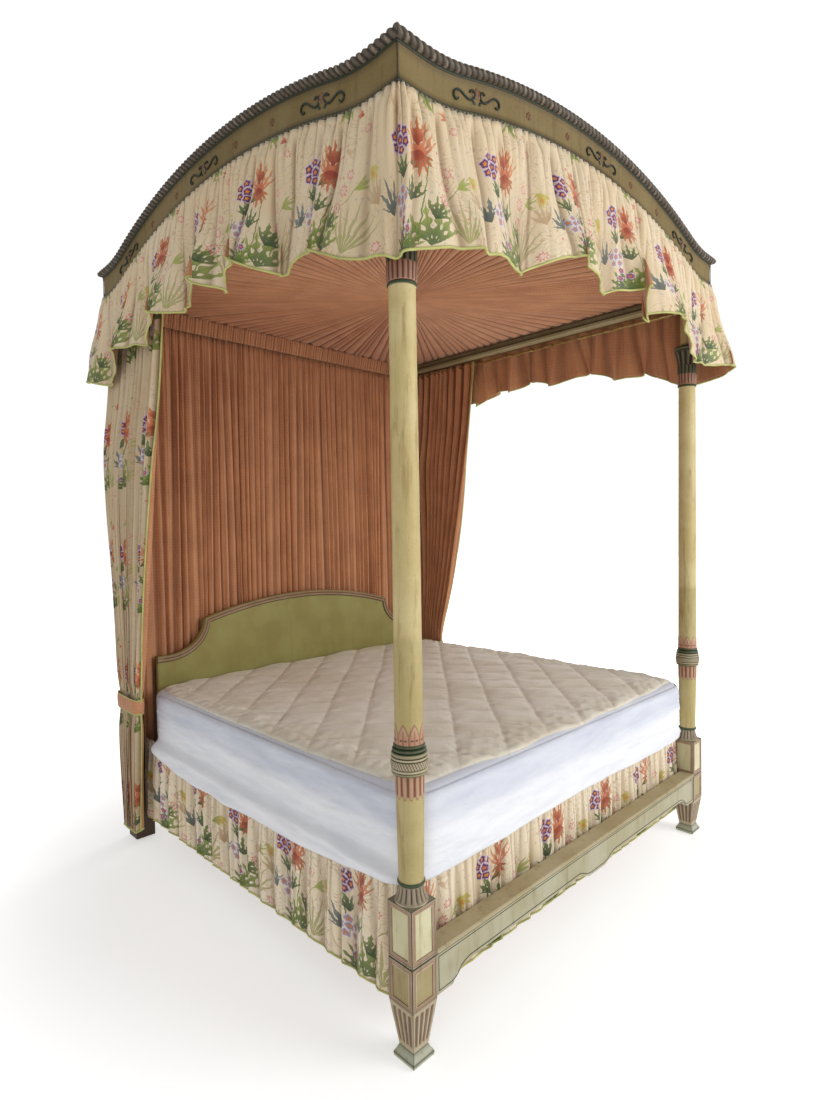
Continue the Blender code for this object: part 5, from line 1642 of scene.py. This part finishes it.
def build_head_curtain():
    """Lined cloth gathered on its rod at the head, with a ruffled heading."""
    low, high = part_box("head_curtain")
    middle = (low.y + high.y) / 2
    width = high.x - low.x
    lap = 0.052                   # how far each end laps in front of its post
    fold, tight = waves(width, 46, 31, 0.55, 1.5), waves(width, 118, 32)
    depth, lean = uneven(width, 33, 33, 0.45, 1.0), uneven(width, 19, 34, -1.0, 1.0)
    top = high.z + 0.006
    folds = []

    def place(u, v):
        across = u * width
        down = 1 - v
        long = smoothstep(0.0, 0.16, down)
        sway = 0.018 * lean(across) * down
        wave = np.sin(fold(across) + 0.55 * np.sin(down * 5 + lean(across) * 3))
        sharp = np.sign(wave) * np.abs(wave) ** 0.75
        # The fold hollows, stored as hollow, set painted shade in the lining.
        folds.append(smoothstep(-0.15, -0.95, wave) * (0.35 + 0.65 * long) * depth(across))
        y = middle - (0.0035 + 0.0125 * long * depth(across)) * sharp
        y = y - 0.0040 * (1 - long) * np.sin(tight(across)) - 0.0015 * np.sin(tight(across)) * long
        x = low.x - lap + (across + sway) * (width + 2 * lap) / width
        x = x + 0.0025 * long * np.sin(2 * fold(across)) * depth(across)
        edge = smoothstep(0.960, 0.980, np.abs(x))
        y = y * (1 - edge) + (middle - 0.036) * edge
        return np.clip(x, low.x - lap, high.x + lap), y, low.z + (top - low.z) * v

    columns, rows = 900, 40
    obj = mapped("pleated_head_curtain", columns, rows, lambda u, v: place(1 - u, v))
    mark(obj, "hollow", folds[-1])
    flat = row_lengths(place, columns, rows)
    set_cloth_uv(obj, *flat, (0.0, 0.0))
    lined(obj, MATERIALS["chintz"], MATERIALS["lining"], 0.0018)
    seat(obj, "bed", "terracotta_lining", "head_curtain")

    def ruff(u, v):
        across = u * width
        x = place(u, np.full_like(u, 1.0))[0]
        wave = np.sin(tight(across)) * 0.75 + 0.25 * np.sin(fold(across))
        # The frill's fold hollows, stored as hollow, set painted shade in the lining.
        folds.append(smoothstep(0.1, -0.9, wave) * 0.8)
        y = middle - 0.0165 - 0.0210 * v - 0.0050 * wave * (0.6 + 0.4 * v)
        return x, y, top - 0.016 + 0.086 * v + 0.003 * v * np.sin(fold(across) * 0.5)

    frill = mapped("head_curtain_frill", columns, 6, ruff)
    mark(frill, "hollow", folds[-1])
    frill_flat = row_lengths(ruff, columns, 6)
    set_cloth_uv(frill, *frill_flat, (0.0, 0.0))
    dress(frill, MATERIALS["lining"])
    modify(frill, "SOLIDIFY", thickness=0.0018, offset=0.0)
    seat(frill, "bed", "terracotta_lining")


CURTAIN_STEPS = (
    # height, front, back and spread, as the curtain falls to its band and out of it
    (2.790, 0.600, -0.020, 0.0), (2.700, 0.590, -0.020, 0.0), (2.323, 0.540, -0.045, 0.6),
    (2.059, 0.495, -0.110, 1.0), (1.663, 0.430, -0.080, 1.0), (1.230, 0.340, -0.020, 1.0),
    (0.815, 0.235, -0.005, 0.8), (0.705, 0.235, -0.005, 0.8), (0.532, 0.215, 0.000, 1.0),
    (0.110, 0.190, 0.040, 1.0),
)


def build_side_curtain(hand, sign):
    low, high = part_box(f"side_curtain_{hand}")
    inner = min(abs(low.x), abs(high.x))
    heights, fronts, backs, spreads = np.array(CURTAIN_STEPS)[::-1].T
    drop = high.z - low.z
    cloth_width = 1.40            # in each curtain, before it is gathered
    folds = 11
    steps = (-0.10, -0.05, 0.0, 0.05, 0.10)
    uneven_fold = waves(1.0, folds, 41 if sign < 0 else 42, 0.6, 1.5)
    size = uneven(1.0, 17, 43 if sign < 0 else 44, 0.55, 1.0)
    small = waves(1.0, 47, 45)
    folds_seen = []

    def eased(z, values):
        return sum(np.interp(z + step, heights, values) for step in steps) / len(steps)

    def place(u, v):
        """u from the leading edge to the back, v from the hem up."""
        z = low.z + drop * v
        front, back, spread = eased(z, fronts), eased(z, backs), eased(z, spreads)
        width = front - back
        ratio = cloth_width / width
        pace = width / folds
        amplitude = np.clip(pace / TAU * np.sqrt(np.maximum(2 * (ratio ** 2 - 1), 0.1)), 0.0, 0.024)
        near_tie = ridge(z - 0.76, 0.10)
        amplitude = np.minimum(amplitude, 0.0135 + 0.012 * spread) * (0.55 + 0.45 * size(u))
        amplitude = amplitude * (1 - 0.55 * near_tie)
        phase = uneven_fold(u) + 0.7 * np.sin(z * 3.1 + 5 * u)
        wave = np.sin(phase)
        wave = np.sign(wave) * np.abs(wave) ** 0.8
        # The recessed folds, stored as crease, and the outward folds, hollow on the lining side, set painted
        # shade in the chintz and lining.
        folds_seen.append((smoothstep(-0.55, 0.90, wave), smoothstep(-0.1, -0.98, wave)))
        out = inner + 0.0155 + 0.0140 * spread - amplitude * wave
        out = out + 0.0022 * np.sin(small(u) + z * 2) * (1 - near_tie)
        bulge = 0.020 * spread * ridge(z - 1.75, 0.55) * np.sin(u * math.pi)
        slant = 0.045 * pace * np.sin(2 * phase)
        along = POST_Y - front + width * u + slant * np.sin(u * math.pi)
        hem = 0.014 * np.sin(phase + 0.8) * smoothstep(0.35, 0.0, v)
        return sign * (out + bulge), along, z + hem * 0.5

    turned_place = place if sign > 0 else (lambda u, v: place(1 - u, v))
    columns, rows = 390, 120
    obj = mapped(f"draped_curtain_{hand}", columns, rows, turned_place)
    mark(obj, "crease", folds_seen[-1][0])
    mark(obj, "hollow", folds_seen[-1][1])
    flat = row_lengths(turned_place, columns, rows)
    set_cloth_uv(obj, *flat, (0.10, 0.20))
    lined(obj, MATERIALS["curtain_chintz"], MATERIALS["lining"], 0.0022)
    body = f"curtain_{hand}"
    seat(obj, body, "floral_chintz", f"side_curtain_{hand}")
    edge = np.stack(place(np.zeros(240), np.linspace(0, 1, 240)), axis=1)[::-1]
    hem = np.stack(place(np.linspace(0, 1, 400), np.zeros(400)), axis=1)
    cord = piping(f"curtain_piping_{hand}", np.concatenate([edge, hem[1:]]), HEM_CORD, MATERIALS["piping"])
    seat(cord, body, "floral_chintz")
    build_tie(hand, body)


def build_tie(hand, body):
    """A padded band that holds the curtain in at the waist."""
    low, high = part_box(f"tie_band_{hand}")
    centre = (low + high) / 2
    half_x, half_y = (high.x - low.x) / 2, (high.y - low.y) / 2

    def place(u, v):
        angle = u * TAU
        cos, sin = np.cos(angle), np.sin(angle)
        swell = 0.0035 * np.sin(v * math.pi) ** 0.6
        x = np.sign(cos) * np.abs(cos) ** 0.55 * (half_x - 0.002 + swell)
        y = np.sign(sin) * np.abs(sin) ** 0.55 * (half_y - 0.002 + swell)
        pucker = 0.0008 * np.sin(angle * 34) * np.sin(v * math.pi)
        z = low.z + (high.z - low.z) * v + 0.006 * np.sin(angle)
        return centre.x + x + pucker, centre.y + y + pucker, z

    columns, rows = 240, 12
    band = mapped(f"tie_sash_{hand}", columns, rows, place, closed=True)
    set_cloth_uv(band, 0.66, 0.07, (0.0, 0.0))
    dress(band, MATERIALS["lining"])
    modify(band, "SOLIDIFY", thickness=0.0020, offset=0.0)
    seat(band, body, "terracotta_lining", f"tie_band_{hand}")
    cords = []
    round_it = np.linspace(0, 1, 160, endpoint=False)
    for n, v in enumerate((0.0, 1.0)):
        ring = np.stack(place(round_it, np.full(160, v)), axis=1)
        cords.append(piping(f"tie_piping_{hand}_{n}", ring, BAND_CORD, MATERIALS["piping"], closed=True))
    trim = joined(f"tie_piping_{hand}", cords)
    seat(trim, body, "floral_chintz")
    flat = row_lengths(place, columns, rows)


def build_skirt(name, node, along_y, sign, seed):
    """A gathered skirt round the box spring, with a corded hem."""
    low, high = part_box(node)
    start, end = (low.y, high.y) if along_y else (low.x, high.x)
    inner = min(abs(low.x), abs(high.x)) if along_y else abs(high.y)
    outer = max(abs(low.x), abs(high.x)) if along_y else abs(low.y)
    length = end - start
    middle, room = (inner + outer) / 2, (outer - inner) / 2
    fold, tight = waves(length, round(length / 0.088), seed), waves(length, round(length / 0.036), seed + 1)
    size = uneven(length, 21, seed + 2, 0.45, 1.0)
    folds = []

    def place(u, v):
        down = 1 - v
        across = u * length
        full = smoothstep(0.0, 0.6, down)
        wave = np.sin(fold(across) + 0.4 * np.sin(down * 4 + across * 3))
        gathers = smoothstep(0.0, -0.95, np.sin(tight(across))) * (1 - 0.7 * down)
        # The fold valleys and gathers, stored as crease, set painted shade in the chintz.
        folds.append(np.maximum(0.62 * smoothstep(0.0, -0.95, wave) * full, 0.60 * gathers))
        out = middle - 0.004 * (1 - full) + (0.0040 + (room - 0.004) * full * size(across)) * wave
        out = out + 0.0028 * np.sin(tight(across)) * (1 - 0.7 * down)
        place_along = start + across + 0.004 * full * np.sin(2 * fold(across)) * size(across)
        place_along = np.clip(place_along, start, end)
        z = high.z - (high.z - low.z) * down + 0.010 * full * wave
        if along_y:
            return sign * out, place_along, z
        return place_along, -out, z

    flip = along_y and sign < 0
    turned_place = (lambda u, v: place(1 - u, v)) if flip else place
    across, down = round(length / 0.0035), 24
    obj = mapped(name, across, down, turned_place)
    mark(obj, "crease", folds[-1])
    flat = row_lengths(turned_place, across, down)
    set_cloth_uv(obj, *flat, (0.05 * seed, 0.10))
    lined(obj, MATERIALS["skirt_chintz"], MATERIALS["lining"], 0.0020)
    seat(obj, "bed", "floral_chintz", node)
    hem = np.stack(place(np.linspace(0, 1, 420), np.zeros(420)), axis=1)
    cord = piping(f"{name}_piping", hem, SKIRT_CORD, MATERIALS["piping"])
    seat(cord, "bed", "floral_chintz")


# ---- Bedding ------------------------------------------------------------------------------------------
def cushion_form(name, low, high, corner, edge, cell, bulge):
    """A closed padded form: rounded corners, a soft edge and sides that swell a little."""
    outline = Outline((high[0] - low[0]) / 2, low[1], high[1], corner)
    around = int(outline.length / cell)
    x, y, nx, ny = outline.at(np.linspace(0, outline.length, around + 1)[:-1])
    levels = [(edge * up, edge * inset)
              for up, inset in ((0.0, 1.0), (0.12, 0.55), (0.35, 0.25), (0.70, 0.06), (1.0, 0.0))]
    tall = high[2] - low[2]
    sides = [(edge + (tall - 2 * edge) * t, -bulge * math.sin(math.pi * t)) for t in (0.2, 0.4, 0.6, 0.8)]
    steps = levels + sides + [(tall - z, inset) for z, inset in reversed(levels)]

    def place(u, v):
        i = np.rint(u * around).astype(int) % around
        j = np.rint(v * (len(steps) - 1)).astype(int)
        z, inset = np.array(steps)[j].T
        return x[i] - nx[i] * inset, y[i] - ny[i] * inset, low[2] + z

    return mapped(name, around, len(steps) - 1, place, closed=True, capped=True)


MATTRESS_CORNER = 0.11


def build_mattress():
    low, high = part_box("box_spring")
    spring = cushion_form("sprung_base", low, high, 0.03, 0.012, 0.03, 0.0015)
    dress(spring, MATERIALS["ticking"])
    seat(spring, "bed", "white_ticking", "box_spring")
    low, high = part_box("mattress")
    body = cushion_form("deep_mattress", low, high, MATTRESS_CORNER, 0.035, 0.03, 0.0)
    dress(body, MATERIALS["knit"])
    seat(body, "bed", "white_ticking", "mattress")
    build_cover(low, high)


def build_cover(low, high):
    """White cover stretched over the mattress sides and hanging over the top of the skirts."""
    gap = 0.004
    outline = Outline(high.x + gap, low.y - gap, high.y, MATTRESS_CORNER)
    start = outline.head_half + 0.015
    length = outline.length - 2 * start
    top_z = high.z - 0.012
    skirt_out = max(abs(v) for v in (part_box("bed_skirt_left")[0].x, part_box("bed_skirt_right")[1].x))
    stand = skirt_out + 0.006 - (high.x + gap)
    drift = uneven(length, 17, 51, -1.0, 1.0)
    ripple = uneven(length, 46, 52, -1.0, 1.0)

    def place(u, v):
        distance = start + u * length
        x, y, nx, ny = outline.at(distance)
        down = 1 - v
        side = np.abs(nx) ** 2
        along = np.clip((y + POST_Y) / (2 * POST_Y), 0, 1)
        middle = np.sin(along * math.pi) ** 0.7 * side
        hem = 0.525 - 0.060 * middle + 0.008 * drift(u * length) - 0.010 * (1 - side) * np.abs(x) / POST_X
        z = top_z - (top_z - hem) * down
        out = stand * side * smoothstep(0.575, 0.535, z)
        seam = 0.5 * ridge(z - 0.700, 0.010) + 0.7 * ridge(z - 0.545, 0.014)
        round_top = -0.020 * smoothstep(0.030, 0.0, high.z - z)
        fold = 0.0062 * crumple(distance + 6 * z, z * 5.0, 0.60, 53)
        fold = fold + 0.0032 * crumple(distance * 2 - 5 * z, z * 13, 0.50, 54)
        sag = 0.006 * smoothstep(0.0, 0.10, z - hem) * np.sin(math.pi * np.clip((z - 0.56) / 0.22, 0, 1))
        out = out + round_top + fold * (0.3 + 0.7 * down) - 0.0035 * seam + sag + 0.003
        out = np.maximum(out, 0.0008 + round_top)
        out = np.where(z < 0.555, np.maximum(out, stand * side * smoothstep(0.565, 0.540, z)), out)
        return x + nx * out, y + ny * out, z + 0.003 * ripple(u * length) * down

    across, down = 620, 44
    obj = mapped("mattress_cover", across, down, place)
    flat = row_lengths(place, across, down)
    set_cloth_uv(obj, *flat, (0.0, 0.0))
    dress(obj, MATERIALS["sheet"])
    modify(obj, "SOLIDIFY", thickness=0.0018, offset=-1.0)
    seat(obj, "bed", "white_ticking")


QUILT = 0.185                 # side of one stitched diamond


def build_pad():
    """Quilted pad on top, stitched in diamonds, with a slack edge."""
    low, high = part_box("mattress_pad")
    centre_x, centre_y = (low.x + high.x) / 2, (low.y + high.y) / 2
    half_x, half_y = (high.x - low.x) / 2, (high.y - low.y) / 2
    stitches = []

    def quilt_place(u, v):
        a, b = u * 2 - 1, v * 2 - 1
        squash = 1 - 0.035 * (a * b) ** 2
        x, y = centre_x + a * half_x * squash, centre_y + b * half_y * squash
        x = x + 0.012 * crumple(y, x, 0.7, 61) * np.abs(a) ** 3
        y = y + 0.010 * crumple(x, y, 0.6, 62) * np.abs(b) ** 3 * (b < 0)
        skew = 0.006 * crumple(x, y, 0.9, 63)
        p, q = (x + y + skew) / QUILT / 1.42, (x - y + skew) / QUILT / 1.42
        lines = np.minimum(np.abs(np.sin(math.pi * p)), np.abs(np.sin(math.pi * q)))
        stitches.append(lines)
        puff = np.clip(lines, 0, 1) ** 0.45
        rim = np.minimum(1.0, np.minimum(1 - np.abs(a), 1 - np.abs(b)) * 24) ** 0.5
        pucker = crumple(x, y, 0.085, 64, 14) * (1 - 0.6 * puff) * 0.0020
        roll = 0.0045 * crumple(x, y, 0.75, 65) + 0.0020 * crumple(x, y, 0.22, 66)
        slack = smoothstep(0.74, 0.98, np.maximum(np.abs(a), -b)) * crumple(x * 1.6, y * 1.6, 0.12, 67, 14)
        height = high.z - 0.006 + (0.0135 * puff - 0.004 + 1.6 * pucker + 0.0052 * slack) * rim + roll
        return x, y, np.maximum(height, low.z + 0.006) - 0.010 * (1 - rim)

    count = 250
    top = mapped("quilted_pad", count, count, quilt_place)
    set_cloth_uv(top, 2 * half_x, 2 * half_y, (0.0, 0.0))
    mark(top, "stitch", 1 - smoothstep(0.02, 0.11, stitches[-1]))
    dress(top, MATERIALS["quilt"])
    bpy.ops.object.mode_set(mode="EDIT")
    bpy.ops.mesh.select_mode(type="EDGE")
    bpy.ops.mesh.select_all(action="DESELECT")
    bpy.ops.mesh.select_non_manifold()
    bpy.ops.mesh.extrude_edges_move(TRANSFORM_OT_translate={"value": (0.0, 0.0, -0.010)})
    bpy.ops.mesh.edge_face_add()
    bpy.ops.mesh.select_all(action="SELECT")
    bpy.ops.mesh.normals_make_consistent(inside=False)
    bpy.ops.object.mode_set(mode="OBJECT")
    seat(top, "bed", "cream_quilting", "mattress_pad")


# ---- Stage --------------------------------------------------------------------------------------------
EYE = (-2.372, -2.446, 1.631)
YAW, PITCH, ROLL = (math.radians(a) for a in (44.663, -1.8602, -0.8746))


def build_world(strength):
    """White all round, which lights the bed more softly than it looks."""
    world = bpy.data.worlds.new("soft_room")
    world.use_nodes = True
    net = Net(world.node_tree)
    ray = net.put("ShaderNodeLightPath").outputs["Is Camera Ray"]
    level = net.plus(strength, net.times(ray, 1.04 - strength))
    net.feed(world.node_tree.nodes["Background"].inputs["Color"], (1.0, 1.0, 1.0))
    net.feed(world.node_tree.nodes["Background"].inputs["Strength"], level)
    bpy.context.scene.world = world


def build_stage(look):
    floor = added("studio_floor", bpy.ops.mesh.primitive_plane_add, size=60.0, location=(0.0, 0.0, -0.0005))
    bpy.ops.object.transform_apply(location=True)
    dress(floor, MATERIALS["floor"])
    level = math.cos(PITCH)
    forward = Vector((math.sin(YAW) * level, math.cos(YAW) * level, math.sin(PITCH)))
    right = Vector((math.cos(YAW), -math.sin(YAW), 0.0))
    up = right.cross(forward)
    cos, sin = math.cos(ROLL), math.sin(ROLL)
    right, up = right * cos + up * sin, up * cos - right * sin
    deselect()
    bpy.ops.object.camera_add()
    camera = bpy.context.object
    camera.matrix_world = Matrix((right, up, -forward)).transposed().to_4x4()
    camera.location = EYE
    camera.data.lens = 20.97
    camera.data.sensor_width = 36.0
    camera.data.clip_start = 0.05
    bpy.context.scene.camera = camera
    build_world(look.room_light)
    lights = (
        ("window", (2.6, -6.4, 3.4), (0.0, 0.0, 1.3), 3.6, look.window_light),
        ("far_window", (6.0, 3.4, 2.4), (0.0, 0.0, 1.2), 2.6, look.window_light * 0.45),
        ("near_fill", (-6.0, -3.6, 3.2), (0.0, 0.0, 1.5), 2.4, look.window_light * 0.16),
    )
    for name, place, aim, size, power in lights:
        deselect()
        bpy.ops.object.light_add(type="AREA", location=place)
        light = bpy.context.object
        light.name = name
        light.rotation_euler = (Vector(aim) - Vector(place)).to_track_quat("-Z", "Y").to_euler()
        light.data.size = size
        light.data.energy = power
    bpy.context.scene.view_settings.view_transform = "Standard"


# ---- Add-on -------------------------------------------------------------------------------------------
class CanopyBedLook(bpy.types.PropertyGroup):
    """Colours that a user would change."""
    chintz_ground: bpy.props.FloatVectorProperty(
        name="Chintz ground", description="Ground of the printed cotton", subtype="COLOR",
        default=(0.80, 0.66, 0.455), min=0.0, max=1.0)
    lining: bpy.props.FloatVectorProperty(
        name="Lining", description="Lining, ceiling and head curtain", subtype="COLOR",
        default=(0.60, 0.262, 0.110), min=0.0, max=1.0)
    piping: bpy.props.FloatVectorProperty(
        name="Piping", description="Covered cord along the hems", subtype="COLOR",
        default=(0.62, 0.62, 0.20), min=0.0, max=1.0)
    quilt: bpy.props.FloatVectorProperty(
        name="Quilted pad", description="Washed cotton of the pad", subtype="COLOR",
        default=(0.80, 0.745, 0.630), min=0.0, max=1.0)


class CanopyBedStage(bpy.types.PropertyGroup):
    """Light levels of the studio."""
    room_light: bpy.props.FloatProperty(
        name="Room light", description="Strength of the even white surroundings", default=0.42, min=0.0)
    window_light: bpy.props.FloatProperty(
        name="Window light", description="Power of the soft light from the right", default=230.0,
        min=0.0, unit="POWER")


class CANOPYBED_OT_materials(bpy.types.Operator):
    """Make the paints, timbers, metals and cloths"""
    bl_idname = "canopybed.materials"
    bl_label = "Materials"

    def execute(self, context):
        make_materials(context.scene.canopy_bed_look)
        return {"FINISHED"}


class CANOPYBED_OT_foot_posts(bpy.types.Operator):
    """Build the carved and painted foot posts"""
    bl_idname = "canopybed.foot_posts"
    bl_label = "Foot posts"

    def execute(self, context):
        build_foot_posts()
        return {"FINISHED"}


class CANOPYBED_OT_head_posts(bpy.types.Operator):
    """Build the plain stained head posts"""
    bl_idname = "canopybed.head_posts"
    bl_label = "Head posts"

    def execute(self, context):
        build_head_posts()
        return {"FINISHED"}


class CANOPYBED_OT_rails(bpy.types.Operator):
    """Line the foot rail and finish the rails, slats, pins and rods"""
    bl_idname = "canopybed.rails"
    bl_label = "Rails, slats and rods"

    def execute(self, context):
        build_rails()
        return {"FINISHED"}


class CANOPYBED_OT_headboard(bpy.types.Operator):
    """Build the arched headboard and its moulding"""
    bl_idname = "canopybed.headboard"
    bl_label = "Headboard"

    def execute(self, context):
        build_headboard()
        return {"FINISHED"}


class CANOPYBED_OT_tester(bpy.types.Operator):
    """Build the arched cornice, its relief and the inner moulding"""
    bl_idname = "canopybed.tester"
    bl_label = "Tester"

    def execute(self, context):
        for side in SIDES:
            build_cornice_side(side)
            build_relief(side)
        build_mitre_lines()
        build_tester_frame()
        return {"FINISHED"}


class CANOPYBED_OT_hangings(bpy.types.Operator):
    """Hang the valance, ceiling, head curtain and tied side curtains"""
    bl_idname = "canopybed.hangings"
    bl_label = "Hangings"

    def execute(self, context):
        build_valance()
        build_ceiling()
        build_head_curtain()
        build_side_curtain("left", -1)
        build_side_curtain("right", 1)
        return {"FINISHED"}


class CANOPYBED_OT_bedding(bpy.types.Operator):
    """Lay the box spring, mattress, cover and quilted pad"""
    bl_idname = "canopybed.bedding"
    bl_label = "Bedding"

    def execute(self, context):
        build_mattress()
        build_pad()
        return {"FINISHED"}


class CANOPYBED_OT_skirts(bpy.types.Operator):
    """Gather the skirts round the box spring"""
    bl_idname = "canopybed.skirts"
    bl_label = "Skirts"

    def execute(self, context):
        build_skirt("gathered_skirt_left", "bed_skirt_left", True, -1, 71)
        build_skirt("gathered_skirt_right", "bed_skirt_right", True, 1, 74)
        build_skirt("gathered_skirt_foot", "bed_skirt_foot", False, 1, 77)
        return {"FINISHED"}


class CANOPYBED_OT_stage(bpy.types.Operator):
    """Set the floor, the lights and the camera"""
    bl_idname = "canopybed.stage"
    bl_label = "Stage"

    def execute(self, context):
        build_stage(context.scene.canopy_bed_stage)
        return {"FINISHED"}


OPERATORS = (
    CANOPYBED_OT_materials, CANOPYBED_OT_foot_posts, CANOPYBED_OT_head_posts, CANOPYBED_OT_rails,
    CANOPYBED_OT_headboard, CANOPYBED_OT_tester, CANOPYBED_OT_hangings, CANOPYBED_OT_bedding,
    CANOPYBED_OT_skirts, CANOPYBED_OT_stage,
)


class CANOPYBED_PT_panel(bpy.types.Panel):
    """Buttons for the bed's pieces and its colours"""
    bl_idname = "CANOPYBED_PT_panel"
    bl_label = "Canopy Bed"
    bl_space_type = "VIEW_3D"
    bl_region_type = "UI"
    bl_category = "Canopy Bed"

    def draw(self, context):
        for group in (context.scene.canopy_bed_look, context.scene.canopy_bed_stage):
            for name in group.__annotations__:
                self.layout.prop(group, name)
        for operator in OPERATORS:
            self.layout.operator(operator.bl_idname)


CLASSES = (CanopyBedLook, CanopyBedStage) + OPERATORS + (CANOPYBED_PT_panel,)


def register():
    for cls in CLASSES:
        bpy.utils.register_class(cls)
    bpy.types.Scene.canopy_bed_look = bpy.props.PointerProperty(type=CanopyBedLook)
    bpy.types.Scene.canopy_bed_stage = bpy.props.PointerProperty(type=CanopyBedStage)


def unregister():
    del bpy.types.Scene.canopy_bed_stage
    del bpy.types.Scene.canopy_bed_look
    for cls in reversed(CLASSES):
        bpy.utils.unregister_class(cls)


def main():
    register()
    for operator in OPERATORS:
        _, name = operator.bl_idname.split(".")
        getattr(bpy.ops.canopybed, name)()


if __name__ == "__main__":
    main()
